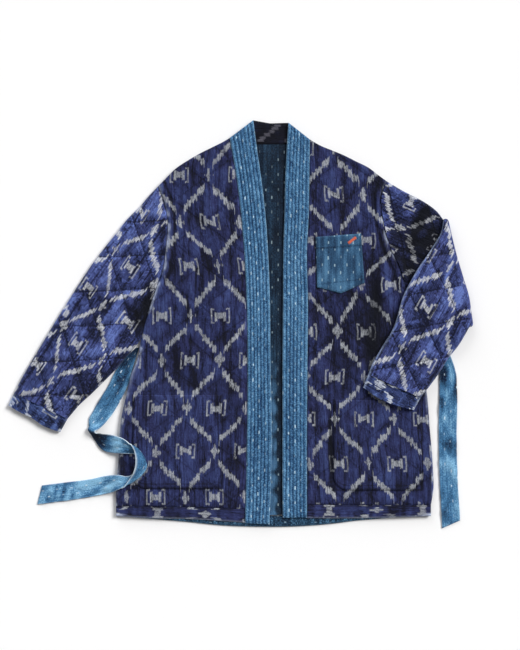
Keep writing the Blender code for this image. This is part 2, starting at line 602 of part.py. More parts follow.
def build_body():
    """Back, fronts and hems."""
    outline = [sampled(BODY_EDGE_RIGHT)[1:], sampled(SHOULDER_RIGHT)[1:],
               np.array([(-20, NECK_SEAM), (137.5, NECK_SEAM)]), sampled(SHOULDER_LEFT)[:-1],
               sampled(BODY_EDGE_LEFT)[::-1][:-1], sampled(shifted(BACK_HEM_SEAM, (0.0, SEAM)))[::-1]]
    flat_piece("back", np.concatenate(outline), 0.0, WALL, KASURI)
    strip("hem_back", BACK_HEM_EDGE, BACK_HEM_SEAM, [BACK_HEM_EDGE[0], BACK_HEM_SEAM[0]],
          [BACK_HEM_EDGE[-1], BACK_HEM_SEAM[-1]], 0.0, LINING)
    outer_right = [row[:2] for row in BAND_RIGHT]
    outer_left = [row[:2] for row in BAND_LEFT]
    inner_right = [(x - SEAM, y) for x, y in [HEM_SEAM_RIGHT[-1]] + outer_right[1:]]
    inner_left = [(x + SEAM, y) for x, y in [HEM_SEAM_LEFT[0]] + outer_left[1:]]
    low_right = HEM_SEAM_RIGHT[:-1] + [inner_right[0]]
    low_left = [inner_left[0]] + HEM_SEAM_LEFT[1:]
    front("front_right", low_right, SHOULDER_RIGHT[:-1] + [inner_right[-1]], BODY_EDGE_RIGHT, inner_right,
          [rectangle(HIP_POCKET_RIGHT)], KASURI)
    chest = CHEST_POCKET_LEFT + CHEST_POCKET_RIGHT[::-1] + [CHEST_POCKET_POINT]
    front("front_left", low_left, [inner_left[-1]] + SHOULDER_LEFT[1:], inner_left, BODY_EDGE_LEFT,
          [rectangle(HIP_POCKET_LEFT), chest], KASURI)
    for name, edge, seam in (("hem_front_right", HEM_EDGE_RIGHT, low_right),
                             ("hem_front_left", HEM_EDGE_LEFT, low_left)):
        seam = shifted(seam, (0.0, -SEAM))
        edge = [(seam[0][0], edge[0][1])] + edge[1:-1] + [(seam[-1][0], edge[-1][1])]
        strip(name, edge, seam, [edge[0], seam[0]], [edge[-1], seam[-1]], FRONT_UNDER, KASURI)


def build_collar():
    """The two ribbed bands and the back of the collar."""
    band("collar_right", BAND_RIGHT, STRIPE_BLUE)
    band("collar_left", BAND_LEFT, STRIPE_BLUE)
    flat_piece("collar_back", COLLAR_BACK, 0.0, WALL, KASURI)


def build_sleeves():
    """Both sleeves with their cuffs."""
    armhole = shifted(ARMHOLE_RIGHT[::-1], (-SEAM, 0.0))
    seam = [SLEEVE_RIGHT_TOP[-1], SLEEVE_RIGHT_LOW[-1]]
    sides = four_sides(armhole, seam, SLEEVE_RIGHT_TOP[1:-1], SLEEVE_RIGHT_LOW[1:-1])
    relief = raised(ARMHOLE_RIGHT[-1], SLEEVE_RIGHT_GRAIN)
    tube("sleeve_right", slab(sides, on_surface, (0, 0, 1), (relief, level), (16, 12)), KASURI)
    cuff("cuff_right", seam, CUFF_RIGHT_END, SLEEVE_RIGHT_GRAIN, on_surface, (0, 0, 1),
         (level, level), (8, 6), KASURI)
    folded_sleeve(KASURI)
    cuff("cuff_left", [FOREARM_INNER[-1], FOREARM_OUTER[-1]], CUFF_LEFT_END, FOREARM_GRAIN,
         forearm_middle, (0, 0, -1), (level, level), (8, 8), KASURI)


def build_pockets_and_ties():
    """Pockets on the fronts and the two ties."""
    chest_pocket(STRIPE_BLUE)
    patch_pocket("hip_pocket_right", HIP_POCKET_RIGHT, KASURI)
    patch_pocket("hip_pocket_left", HIP_POCKET_LEFT, KASURI)
    tie("tie_right", TIE_RIGHT, TIE_BLUE)
    tie("tie_left", TIE_LEFT, TIE_BLUE)


build_body()
build_collar()
build_sleeves()
build_pockets_and_ties()
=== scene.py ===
"""Looks of a hanten that lies flat: a short padded jacket of indigo woven cotton.

Every piece of cloth is built again here over the solids' own seams at a finer step, with its
quilting, creases, stitches and woven pattern. Lengths are millimetres unless a name says
otherwise, and "right" and "left" are the wearer's.
"""
import math

import bmesh
import bpy
import numpy as np
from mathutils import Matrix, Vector
from mathutils.bvhtree import BVHTree


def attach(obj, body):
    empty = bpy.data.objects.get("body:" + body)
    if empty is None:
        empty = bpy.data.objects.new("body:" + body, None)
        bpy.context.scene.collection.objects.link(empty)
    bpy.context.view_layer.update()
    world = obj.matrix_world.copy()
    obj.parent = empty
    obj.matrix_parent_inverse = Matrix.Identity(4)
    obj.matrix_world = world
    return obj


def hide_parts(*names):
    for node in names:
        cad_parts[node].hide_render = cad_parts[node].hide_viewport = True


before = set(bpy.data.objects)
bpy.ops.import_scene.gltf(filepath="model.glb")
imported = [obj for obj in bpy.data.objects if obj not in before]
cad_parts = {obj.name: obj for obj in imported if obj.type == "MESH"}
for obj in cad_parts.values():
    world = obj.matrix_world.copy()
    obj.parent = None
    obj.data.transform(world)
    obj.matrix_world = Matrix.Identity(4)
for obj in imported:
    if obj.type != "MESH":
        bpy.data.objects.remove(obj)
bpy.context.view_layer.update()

MM = 0.001
UP = np.array((0.0, 0.0, 1.0))
TINY = 1e-9

# Thickness of the cloth and the gaps between layers, as in the solids
WALL = 4.5             # padded cloth of the body and the sleeves
GAP = 0.3              # between pieces that lie on each other
SEAM = 0.1             # between pieces that meet at a seam
BAND_WALL = 4.6        # the collar below its ribs
BAND_WIDTH = 50.0
RIB = 1.9              # height of the collar's ribs
RIBS = 7
POCKET_WALL = 2.2
POCKET_PUFF = 0.6      # how far a pocket bulges
TIE_WALL = 1.8
SLIT = 0.8             # between the two layers of a sleeve
ROUND = 8.0            # width of a rounded edge
FRONT_UNDER = WALL + GAP
POCKET_REST = 1.0      # how far the quilting under a pocket may rise
POCKET_UNDER = FRONT_UNDER + WALL + POCKET_REST + GAP
FRONT_TOP = FRONT_UNDER + WALL + 2.0
SLEEVE_HEIGHT = 2 * WALL + GAP

# Relief of the cloth
BODY_PUFF = 1.5        # rise of a quilted field over its stitch lines, on the body
SLEEVE_PUFF = 2.4      # the same on the sleeves
CRINKLE = 1.1          # height of the washed cloth's crinkles along the grain
LUMP = 1.0             # height of the uneven padding's lumps, on the sleeves
PUCKER = 0.9           # height of the small puckers beside a line of stitches
FOLD_DEPTH = 1.4       # depth of the fold that the armhole's seam pulls into a front
EDGE_WEAR = 2.2        # how far from a seam the dye has worn off
SLEEVE_WEAR = 3.0      # the same along a sleeve's pressed edges

# Quilting: two slanting families of stitch lines and one along the grain
QUILT_SLANT = math.radians(37.0)
QUILT_STEP = 68.0
QUILT_GRAIN_STEP = QUILT_STEP / 2 / math.sin(QUILT_SLANT)
QUILT_VALLEY = 7.0     # how far a stitch line draws the cloth down beside it
QUILT_ORIGIN = (-190.0, -137.0)
QUILT_FAMILIES = ((QUILT_SLANT, QUILT_STEP), (-QUILT_SLANT, QUILT_STEP), (math.pi / 2, QUILT_GRAIN_STEP))

# Length of a stitch, gap between stitches and width of the thread
STITCH = 4.2
STITCH_GAP = 2.0
THREAD_WIDTH = 0.7

# Woven patterns
COLUMN = 58.5          # distance between the lattice's columns
ROW = 92.0             # and between its rows
BLOCK = 6.8            # width of the steps that a bar is made of
BRACKET = 17.6         # distance of a motif's brackets from its middle
STRAND = 2.3           # width of a bundle of yarns that take the dye alike
YARN = 0.8             # distance between yarns
DASH_COLUMN = 12.4     # distance between the dotted cloth's columns
DASH_ROW = 30.0        # and between the dashes of a column
PLUM = (1.04, 0.92, 0.93, 1.0)     # how the indigo turns towards plum in places

# Fineness of the meshes
STEP = 2.3
EDGE_STEPS = (0.0, 0.8, 2.0, 3.8, 6.0)     # places across a rounded edge
UNDER_POINTS = 40      # points across a sleeve's hidden side
INNER_POINTS = (20, 20)        # points across a sleeve's two inner faces
NOISE_CELLS = 128      # size of the noise's table

# Seams and edges, in order from below to above or from the wearer's right to left: columns x, y
SIDE_RIGHT = [(-250, -364), (-250, -334), (-245, -266), (-243, -218), (-238, -178),
              (-230, -144), (-220, -102), (-207, -68), (-200, -30)]
ARMHOLE_RIGHT = [(-200, -30), (-192, 2), (-179, 46), (-166, 82), (-156, 114),
                 (-150, 162), (-147, 206), (-154, 244), (-166, 276)]
SHOULDER_RIGHT = [(-166, 276), (-154, 288), (-130, 312), (-106, 328), (-82, 342),
                  (-58, 354), (-34, 366), (-23, 372)]
SIDE_LEFT = [(380, -362), (385, -330), (384, -284), (378, -212), (370, -124), (354, -55), (342, -12)]
ARMHOLE_LEFT = [(342, -12), (338, 30), (332, 66), (327, 82), (318, 114), (302, 146),
                (292, 176), (284, 212), (281, 256), (292, 286)]
BODY_EDGE_RIGHT = SIDE_RIGHT + ARMHOLE_RIGHT[1:]
BODY_EDGE_LEFT = SIDE_LEFT + ARMHOLE_LEFT[1:]
SHOULDER_LEFT = [(138, 370), (158, 358), (182, 348), (206, 338), (230, 326), (254, 314),
                 (278, 296), (292, 286)]
HEM_SEAM_RIGHT = [(-250, -364), (-100, -366), (8, -370)]
HEM_SEAM_LEFT = [(132, -361), (260, -362), (380, -362)]
HEM_EDGE_RIGHT = [(-250, -384), (-182, -388), (-102, -390), (8, -397)]
HEM_EDGE_LEFT = [(132, -388), (200, -388.5), (300, -387), (378, -384)]
BACK_HEM_SEAM = [(-250, -366), (-100, -376), (64, -384), (230, -374), (380, -364)]
BACK_HEM_EDGE = [(-250, -384), (-202, -388), (-106, -396), (-34, -403), (38, -405.5), (86, -405.5),
                 (134, -403.5), (182, -399.5), (230, -393.5), (278, -389.5), (326, -385.5), (378, -384)]
HEM_HIGHLIGHT_CORNERS = (-248.0, 378.0)     # x of the hem's bulging corners, where a painted highlight lies
NECK_SEAM = 360.0              # y of the seam behind the neck

# The lining that shows between the collar's bands
OPENING = [(57, -380), (61.5, -208), (59, -80), (58, 48), (54, 148), (49, 219), (40, 296), (32, 352),
           (91.5, 352), (88.5, 290), (87, 219), (84.6, 148), (84, 48), (83, -80), (83, -208), (83, -380)]

# Collar bands, a row for each height: columns outer x, outer y, inner x, inner y
BAND_RIGHT = [(8, -398, 57, -400.5), (9.5, -334, 59.5, -334), (12, -208, 61.5, -208),
              (13, -80, 59, -80), (11, 48, 58, 48), (6, 148, 54, 148), (0, 218, 49, 219),
              (-9, 292, 40, 296), (-17, 340, 32, 352), (-23, 372.5, 24.6, 408.5)]
BAND_LEFT = [(132, -387, 83.5, -387), (132, -334, 83, -334), (132, -208, 83, -208),
             (133, -80, 83, -80), (134, 48, 84, 48), (132, 148, 84.6, 148), (135.6, 218, 87, 219),
             (136.8, 292, 88.5, 290), (137.5, 340, 91.5, 352), (138, 369.5, 94.8, 403.5)]

# Back of the collar: length, lower edge and upper edge
COLLAR_BACK_SPAN = 157.0
COLLAR_BACK_LOW = [(-19.2, NECK_SEAM + SEAM), (136.7, NECK_SEAM + SEAM)]
COLLAR_BACK_HIGH = [(-22.2, 372.8), (24.6, 408.5), (58, 402.5), (94.8, 403.5), (137.3, 369.8)]

# Right sleeve: upper edge and lower edge from the armhole to the cuff's end, then the end itself
SLEEVE_RIGHT_TOP = [(-166, 276), (-178, 264), (-202, 236), (-226, 212), (-250, 182), (-274, 152),
                    (-298, 120), (-322, 84), (-346, 46), (-370, 8), (-394, -32), (-418, -72),
                    (-442, -114), (-454, -138)]
SLEEVE_RIGHT_LOW = [(-200, -30), (-206, -38), (-228, -64), (-254, -94), (-274, -114),
                    (-298, -138), (-322, -160), (-347, -189)]
CUFF_RIGHT_SEAM = [SLEEVE_RIGHT_TOP[-1], SLEEVE_RIGHT_LOW[-1]]
CUFF_RIGHT_END = [(-466, -162), (-442, -176), (-418, -188), (-394, -204), (-362, -216)]

# Left sleeve: the fold, then the edges of the upper arm below it and of the forearm on top
FOLD = [(414, 212), (422, 176), (432, 136), (444, 96), (456, 56), (462, 16), (465, -4)]
FOLD_OUTWARD = (0.973, 0.230)
UPPER_ARM_TOP = [(292, 286), (302, 280), (326, 266), (350, 254), (374, 240), (392, 226)]
UPPER_ARM_LOW = [(342, -12), (398, -14), (446, -9)]
FOREARM_INNER = [(400, 186), (381, 152.5), (349, 104.5), (324, 56.5), (304, -7.5), (280, -47.5),
                 (260, -83.5), (254, -99.5)]
FOREARM_OUTER = [(446, -24), (434, -44), (418, -64), (396, -98), (370, -132), (358, -147)]
CUFF_LEFT_SEAM = [FOREARM_INNER[-1], FOREARM_OUTER[-1]]
CUFF_LEFT_END = [(244, -126), (282, -152), (325, -166), (345, -171)]
FOLD_REACH = 64.0      # how far from the fold the forearm comes to rest
FOREARM_REST = 0.5     # space under it where it rests
DRAPE_SLOPE = 0.25     # how steeply it comes down past what it lies on

# Which way the cloth of each sleeve runs
SLEEVE_RIGHT_GRAIN = (-0.565, -0.825)
UPPER_ARM_GRAIN = (0.914, -0.406)
FOREARM_GRAIN = (-0.449, -0.893)
FOREARM_WARP = (-0.510, -0.860)

# Pockets
CHEST_POCKET_LEFT = [(152, 73.5), (150.5, 124), (149, 174.5)]
CHEST_POCKET_RIGHT = [(247, 82.5), (243.5, 132), (240, 181.5)]
CHEST_POCKET_POINT = (200, 61.5)
CHEST_POCKET_SEAMS = ([(151.5, 151), (242, 158)], [(153, 80), (246, 90)])
HIP_POCKET_RIGHT = (-216.0, -38.0, -328.5, -141.5)
HIP_POCKET_LEFT = (186.0, 362.0, -331.5, -151.5)
CHEST_POCKET_STITCHES = [(153, 172), (154.5, 124), (155.5, 76), (200, 65), (243.5, 85), (240.3, 132),
                         (237, 179)]
HIP_POCKET_CORNER = 26.0
POCKET_SEAMS = (3.0, 9.0)      # distances of a hip pocket's stitches from its edge
POCKET_MARGIN = 6.0            # how far past a pocket's edge the front stays even

# Bar tack: place, step from thread to thread, half a thread's reach and number of threads
TACK_START = (215.0, 162.0)
TACK_STEP = (1.2, 0.9)
TACK_REACH = (2.8, 4.6)
TACK_THREADS = 13

# Ties, a row for each section of the ribbon's middle plane: columns x, y, z of the near edge,
# of the middle and of the far edge
TIE_RIGHT = [
    ((-203.9, -47, 1), (-207, -47, 1), (-210.5, -47, 1)),
    ((-210, -65, 1), (-218, -63.5, 1), (-227, -62, 1)),
    ((-219.2, -97, 1), (-234.5, -95, 1), (-251, -93, 1)),
    ((-226.5, -121.5, 1), (-244.7, -119.5, 1), (-263, -117.5, 1)),
    ((-243, -155.5, 1), (-261.5, -150.5, 1), (-280, -145.5, 1)),
    ((-262, -185.5, 2), (-279, -180, 1.2), (-296, -173.5, 1)),
    ((-280, -206.5, 7), (-293, -201, 3), (-305, -195.5, 1.2)),
    ((-291, -214.5, 14), (-305, -211, 8), (-299, -217.5, 1.5)),
    ((-282, -218.5, 12), (-289, -225, 6), (-292, -233.5, 1.2)),
    ((-262, -220.5, 12), (-270, -236, 6), (-276, -252.5, 2)),
    ((-241, -225.5, 19), (-246, -240.5, 14), (-250, -257.5, 10)),
    ((-225, -234.5, 24), (-224, -245.5, 18.5), (-228, -258.5, 15)),
    ((-215, -247.5, 26), (-204, -251.5, 19), (-213, -259.5, 15.2)),
    ((-210.4, -261.5, 27), (-193, -266.5, 19), (-204, -269.5, 15.2)),
    ((-210, -278.5, 27), (-190, -281.5, 19), (-202, -280.5, 15.2)),
    ((-214, -293.5, 26), (-199, -299.5, 19), (-209, -292.5, 15.2)),
    ((-222, -308.5, 23), (-215, -313.5, 18), (-220, -301.5, 15.2)),
    ((-237, -325.5, 18), (-231, -318.5, 16.5), (-230, -303.5, 15)),
    ((-254, -334.5, 9), (-249, -317.5, 12), (-245, -301, 13.5)),
    ((-276, -340.5, 2.5), (-274, -322, 3.5), (-272, -304, 5)),
    ((-306, -346.5, 1), (-304, -328.5, 1), (-302, -310.5, 1.2)),
    ((-358, -354.5, 1), (-355, -336, 1), (-352, -317, 1)),
    ((-408, -361, 1), (-403.5, -342, 1), (-398.5, -323, 1)),
]
TIE_LEFT = [
    ((351.4, -41.5, 1), (355.7, -57.5, 1), (360.4, -73.5, 1)),
    ((378, -35.5, 1), (380, -52.5, 1), (382, -69.5, 1)),
    ((400, -38.5, 1), (396.5, -57, 1), (393, -75.5, 1)),
    ((414, -53, 1), (405, -70, 1), (396, -86, 1)),
    ((424, -75, 1), (411, -85.5, 1), (397.5, -96, 1)),
    ((430, -94, 1), (414, -100, 1), (397.6, -106, 1)),
    ((432.6, -129.5, 1), (415, -130.5, 1), (397.2, -131.5, 1)),
    ((432, -223.5, 1), (414, -223.5, 1), (396, -223.5, 1)),
    ((434, -311.5, 1), (416, -313.5, 1), (398, -315.5, 1)),
    ((439, -393, 1), (421, -401, 1), (403, -409, 1)),
]
TIE_WIDTH = 36.0

# How worn the fronts' outer edges are: columns y, wear, how far it reaches, how much painted light
# lies on the rolled seam beside it
WORN_RIGHT = [
    (-384, 0.6, 3, 0.1), (-250, 0.4, 3, 0.2), (-100, 0.4, 4, 0.35), (-60, 0.7, 4, 0.6),
    (-36, 1.5, 6, 0.9), (-12, 1.0, 4, 0.8), (75, 0.9, 3.5, 0.7), (100, 1.3, 5, 0.7), (215, 1.3, 5, 0.7),
    (245, 0.6, 4, 0.6), (276, 0.5, 4, 0.5),
]
WORN_LEFT = [
    (-384, 0.4, 3, 0.2), (-200, 0.3, 3, 0.1), (-12, 0.1, 3, 0), (125, 0.0, 3, 0), (145, 0.5, 5, 0),
    (215, 0.6, 5, 0), (250, 0.1, 4, 0),
]

# Painted shade and painted highlights on the ties, where they curl, turn and lie under other pieces:
# columns distance along, distance across, reach along, reach across, change
PAINTED_LIGHT_TIE_RIGHT = [
    (15, 18, 40, 40, -0.9), (75, 12, 45, 6, -0.5), (120, 24, 30, 8, -0.2), (150, 18, 25, 30, 0.2),
    (185, 18, 12, 30, 0.3), (222, 14, 17, 24, -2.3), (266, 16, 12, 14, 1.0), (290, 30, 16, 8, -0.3),
    (340, 20, 50, 30, -0.15), (420, 18, 22, 20, 0.35), (470, 18, 20, 20, 0.25), (505, 10, 5, 14, -0.6),
    (525, 16, 5, 16, -0.8), (542, 24, 5, 14, -0.7), (556, 8, 5, 12, -0.5), (585, 18, 12, 20, 0.1),
]
PAINTED_LIGHT_TIE_LEFT = [
    (88, 31, 17, 9, -1.2), (85, 12, 26, 4, 0.5), (117, 2, 18, 5, -0.6), (128, 20, 14, 8, 0.4),
    (153, 32, 15, 6, -0.7), (172, 12, 10, 6, -0.25), (180, 22, 12, 6, 0.3), (209, 29, 9, 6, -0.45),
    (205, 10, 12, 6, 0.3), (228, 17, 11, 7, -0.4), (247, 29, 20, 6, -0.35), (262, 14, 12, 9, 0.2),
    (313, 17, 34, 8, -0.2), (345, 28, 14, 5, -0.25), (20, 18, 40, 40, -0.6),
]

# How the woven lattice lies on the fronts: columns y, shift of the columns there, row of the lattice
WEAVE_RIGHT_X = -63.0
WEAVE_RIGHT = [
    (-405, 10, -6.65), (-345.5, 10, -6), (-253.5, 10, -5), (-168.5, 13, -4), (-71.5, 20, -3),
    (15.5, 22, -2), (116.5, 18, -1), (204.5, 0, 0), (298.5, -2, 1), (400, -2, 2.1),
]
WEAVE_LEFT_X = 185.0
WEAVE_LEFT = [
    (-400, 14, -7.3), (-278.5, 11, -6), (-189.5, 2, -5), (-105.5, 2, -4), (-15.5, 8, -3),
    (80.5, -4, -2), (166.5, 8, -1), (260.5, 0, 0), (380, 0, 1.3),
]

# And on the right sleeve: columns distance across the grain, place in the lattice, lag along it
WEAVE_SLEEVE = [(-60, -62, 0), (3, 0, 0), (43, COLUMN, 15), (104, 2 * COLUMN, 12), (165, 178, 12)]
WEAVE_SLEEVE_START = (-166.0, 276.5)   # where those distances start
WEAVE_SLEEVE_FIRST = 61.0              # place in the lattice there, along the grain

# Places of a figure of the lattice or of the first dash, and how far the pattern is stretched
WEAVE_UPPER_STAR = (319.0, 192.5)
WEAVE_UPPER_STRETCH = 1.22
WEAVE_FOREARM_MOTIF = (369.0, 34.0)
WEAVE_FOREARM_STRETCH = (1.03, 0.98)
WEAVE_NECK = (10.8, 295.0)
WEAVE_CHEST = (150.0, 74.0)
HEM_SHIFT = 72.0       # how far across the front the hems' cloth is cut

# Creases pressed or slept into the cloth: columns x, y from, x, y to, width, height
CREASES_RIGHT_FRONT = [
    (-120, 300, -132, 150, 9, 1.6), (-96, 120, -84, -20, 8, -1.4), (-60, 330, -66, 250, 7, 1.2),
    (-30, 150, -22, 10, 7, 1.1), (-150, 60, -168, -60, 10, 1.8), (-178, -10, -205, -110, 9, -1.6),
    (-70, -60, -60, -140, 8, 1.2), (-20, -40, -12, -170, 7, -1.2), (-130, -20, -140, -120, 8, -1.3),
    (-200, -130, -224, -230, 10, 1.5), (-30, -190, -26, -330, 8, -1.7), (-14, -220, -10, -340, 5, 1.4),
    (-140, 210, -120, 240, 9, -1.4), (-100, 230, -60, 180, 9, -1.3),
]
CREASES_LEFT_FRONT = [
    (160, 340, 166, 260, 7, 1.2), (190, 250, 196, 190, 7, -1.1), (262, 250, 270, 150, 9, 1.6),
    (282, 140, 300, 20, 12, 2.2), (262, 120, 276, 0, 10, -2.2), (300, 60, 282, -60, 12, -2.4),
    (148, 40, 152, -110, 7, 1.2), (176, 20, 186, -100, 8, -1.3), (216, 10, 224, -120, 8, 1.3),
    (248, -20, 250, -130, 9, -1.8), (178, -120, 179, -345, 4, -3.0), (170, -120, 171, -340, 5, 1.8),
    (372, -180, 374, -340, 8, 1.4), (240, 330, 262, 270, 9, 1.3), (210, 60, 300, 40, 10, -1.0),
]
CREASES_SLEEVE_RIGHT = [
    (-190, 230, -330, 20, 14, 1.8), (-176, 150, -262, 60, 10, -2.2), (-196, 90, -290, -20, 9, 1.6),
    (-210, 20, -250, -60, 10, -2.6), (-222, 40, -310, -90, 10, 1.8), (-230, 120, -300, 0, 8, -1.8),
    (-290, 90, -400, -90, 12, -1.9), (-330, -20, -390, -130, 9, 1.5), (-270, -60, -340, -160, 9, -1.8),
    (-250, 10, -270, -80, 8, 1.5), (-200, 180, -250, 130, 8, -1.6), (-350, 20, -300, -40, 10, 1.4),
    (-180, 30, -215, -30, 9, -2.8),
]
CREASES_UPPER_ARM = [
    (368, 246, 334, 170, 9, -3.6), (352, 250, 322, 190, 9, 2.0), (388, 222, 352, 160, 9, 1.6),
    (300, 256, 318, 150, 10, -2.4), (330, 150, 346, 40, 13, -3.2), (350, 110, 362, 60, 10, -1.8),
]
CREASES_FOREARM = [
    (430, 180, 360, 40, 9, -2.2), (440, 150, 380, 10, 8, 1.8), (400, 150, 330, 20, 9, 1.7),
    (414, 120, 345, -20, 8, -2.0), (450, 60, 400, -50, 9, -1.9), (452, 90, 420, 20, 9, 1.8),
    (385, 110, 310, -40, 8, -1.7), (410, 40, 350, -90, 9, 1.8), (372, 20, 300, -110, 8, -1.8),
    (395, -20, 352, -110, 8, -1.8), (330, -10, 290, -90, 7, 1.4), (428, 20, 386, -70, 8, 1.6),
]

# Painted shade in creases, between layers and where pieces cast shadows, and painted light where the
# darkness is below 0: columns x, y from, x, y to, width, darkness
PAINTED_SHADE_SLEEVE_RIGHT = [
    (-168, 110, -206, -40, 11, 1.5), (-190, 70, -214, 0, 20, 1.1), (-160, 230, -158, 90, 6, 0.8),
    (-300, 88, -270, 2, 17, 0.6), (-324, 40, -282, -56, 19, 0.6), (-300, -70, -360, -170, 16, 0.4),
    (-222, 130, -260, 34, 18, -0.45), (-314, 88, -356, 4, 12, -0.4),
    (-190, -20, -360, -202, 11, 0.9), (-200, 40, -216, -20, 10, 1.0),
]
PAINTED_SHADE_CUFF_RIGHT = [(-372, -197, -336, -207, 14, 1.1)]
PAINTED_SHADE_CUFF_LEFT = [(250, -95, 370, -170, 40, 0.3)]
PAINTED_SHADE_UPPER_ARM = [
    (356, 225, 328, 45, 38, 0.62), (386, 276, 322, 140, 10, 1.2), (300, 200, 322, 90, 10, 0.5),
    (404, 262, 360, 130, 18, 0.6), (330, 330, 350, -20, 90, 0.66),
]
PAINTED_SHADE_FOREARM = [(345, 40, 300, -100, 50, 0.16), (405, 200, 445, 0, 45, -0.16)]
PAINTED_SHADE_LEFT_FRONT = [
    (275, 150, 270, -98, 13, 1.15), (300, 10, 262, -96, 14, 0.9), (150, 60, 152, -20, 8, 0.5),
    (290, 165, 306, -15, 13, -0.55), (250, 200, 230, -180, 60, 0.3), (206, 60, 250, 60, 9, 0.6),
    (178, -160, 179, -345, 3, 1.6), (240, 40, 256, -70, 12, 0.5), (330, 70, 300, -20, 9, 0.7),
]
PAINTED_SHADE_RIGHT_FRONT = [
    (-50, 230, -62, 60, 10, 0.4), (-120, 20, -130, -120, 9, 0.12), (-101, -5, -99, -125, 3, 0.7),
    (-238, -236, -240, -318, 10, 1.0), (-226, -240, -228, -316, 4, -0.3),
    (-10, -120, -12, -360, 6, 0.5), (-80, 165, -64, 95, 5, 0.9), (-98, -70, -94, -140, 3, 0.9),
    (-49, 104, -50, 50, 8, 0.6), (-111, 70, -100, -10, 3, 0.9), (-38, 30, -30, -60, 3, 0.7),
    (-150, -60, -158, -130, 3, 0.7), (-120, -230, -118, -320, 3, 0.7), (-64, -150, -60, -240, 3, 0.7),
]

# Studio, in metres. Lights: name, where from, spread in degrees, strength, colour
LIGHTS = (
    ("key_light", (1.9, 1.3, 1.9), 26.0, 3.1, (1.0, 0.99, 0.97)),
    ("fill_light", (-1.2, 2.4, 0.9), 50.0, 1.6, (0.96, 0.98, 1.0)),
)
CAMERA_PLACE = (0.038, -0.0015, 3.62)
FLOOR_HALF = 40.0
FLOOR_HEIGHT = -0.0004


def smooth(share):
    """An even ramp from 0 to 1."""
    share = np.clip(share, 0.0, 1.0)
    return share * share * (3.0 - 2.0 * share)


def bell(distance, width):
    """A soft hump, 1 where the distance is 0."""
    return np.exp(-(distance / width) ** 2)


def stacked(*parts):
    """Arrays side by side in a last axis."""
    return np.stack(parts, axis=-1)


def distances_along(points):
    """Distance of each point from the first, along the line through them."""
    steps = np.linalg.norm(np.diff(np.array(points, float), axis=0), axis=1)
    return np.concatenate([[0.0], np.cumsum(steps)])


def length(points):
    """Length of a table's line."""
    return float(distances_along(points)[-1])


def curve(points, fractions, straight=False):
    """Points on a line through a table's rows, read at fractions of its length."""
    rows = np.array(points, float)
    knots = distances_along(rows)
    knots /= knots[-1]
    wanted = np.clip(np.asarray(fractions, float), 0.0, 1.0)
    if straight:
        return stacked(*[np.interp(wanted, knots, column) for column in rows.T])
    slopes = np.gradient(rows, knots, axis=0)
    index = np.clip(np.searchsorted(knots, wanted, side="right") - 1, 0, len(knots) - 2)
    width = (knots[index + 1] - knots[index])[:, None]
    t = (wanted - knots[index])[:, None] / width
    start, end = rows[index], rows[index + 1]
    leave, arrive = slopes[index] * width, slopes[index + 1] * width
    return ((2 * t ** 3 - 3 * t ** 2 + 1) * start + (t ** 3 - 2 * t ** 2 + t) * leave
            + (3 * t ** 2 - 2 * t ** 3) * end + (t ** 3 - t ** 2) * arrive)


def sampled(points):
    """A table's curve as points about a step apart."""
    return curve(points, np.linspace(0.0, 1.0, round(length(points) / STEP) + 1))


def patch(low, high, left, right, across, up, straight=False):
    """Points of a four-sided piece, from its four edges: an array [up, across, 2]."""
    a = np.asarray(across, float)[None, :, None]
    u = np.asarray(up, float)[:, None, None]
    low_line, high_line = (curve(edge, across, straight)[None, :, :] for edge in (low, high))
    left_line, right_line = (curve(edge, up, straight)[:, None, :] for edge in (left, right))
    corners = ((1 - a) * (1 - u) * low_line[:, :1] + a * (1 - u) * low_line[:, -1:]
               + (1 - a) * u * high_line[:, :1] + a * u * high_line[:, -1:])
    return (1 - u) * low_line + u * high_line + (1 - a) * left_line + a * right_line - corners


def spaced(size):
    """Fractions of a size, closer together at both edges."""
    near = np.array(EDGE_STEPS)
    inner = np.linspace(ROUND, size - ROUND, max(2, round(size / STEP)))
    return np.concatenate([near, inner, size - near[::-1]]) / size


def edge_rise(distance):
    """Height of a rounded edge, from 0 on the edge to 1 where the cloth is full."""
    inward = np.clip(np.asarray(distance, float) / ROUND, 0.0, 1.0)
    return np.sqrt(1.0 - (1.0 - inward) ** 2)


def quilt_places(across, along):
    """Places across each family of quilting lines, counted in its lines, from cloth coordinates."""
    return [(across * math.sin(angle) + along * math.cos(angle)) / step for angle, step in QUILT_FAMILIES]


def quilt_fields(across, along, valley=QUILT_VALLEY):
    """Distance to the nearest quilting line, and the fields' fullness, from 0 on a line to 1."""
    places = quilt_places(across, along)
    away = [step * np.abs(place - np.round(place)) for place, (_, step) in zip(places, QUILT_FAMILIES)]
    to_line = np.min(away, axis=0)
    return to_line, 1.0 - bell(to_line, valley)


def quilted(across, along, strength):
    """Where the quilting runs, for the dye: cloth coordinates and how strongly it draws the cloth."""
    return stacked(across, along, np.broadcast_to(strength, np.shape(across)))


def distance_to_line(points, x, y):
    """Distance from places in the plan to a line through points."""
    nearest = np.full(np.shape(x), np.inf)
    for (x0, y0), (x1, y1) in zip(points, points[1:]):
        run, rise = x1 - x0, y1 - y0
        square = max(run * run + rise * rise, TINY)
        share = np.clip(((x - x0) * run + (y - y0) * rise) / square, 0.0, 1.0)
        nearest = np.minimum(nearest, np.hypot(x - x0 - share * run, y - y0 - share * rise))
    return nearest


def inside(outline, x, y):
    """Whether places in the plan are within a closed outline."""
    closed = list(outline) + [outline[0]]
    crossings = np.zeros(np.shape(x), int)
    for (x0, y0), (x1, y1) in zip(closed, closed[1:]):
        if y0 != y1:
            crossings += ((y0 > y) != (y1 > y)) & (x < x0 + (y - y0) * (x1 - x0) / (y1 - y0))
    return crossings % 2 == 1


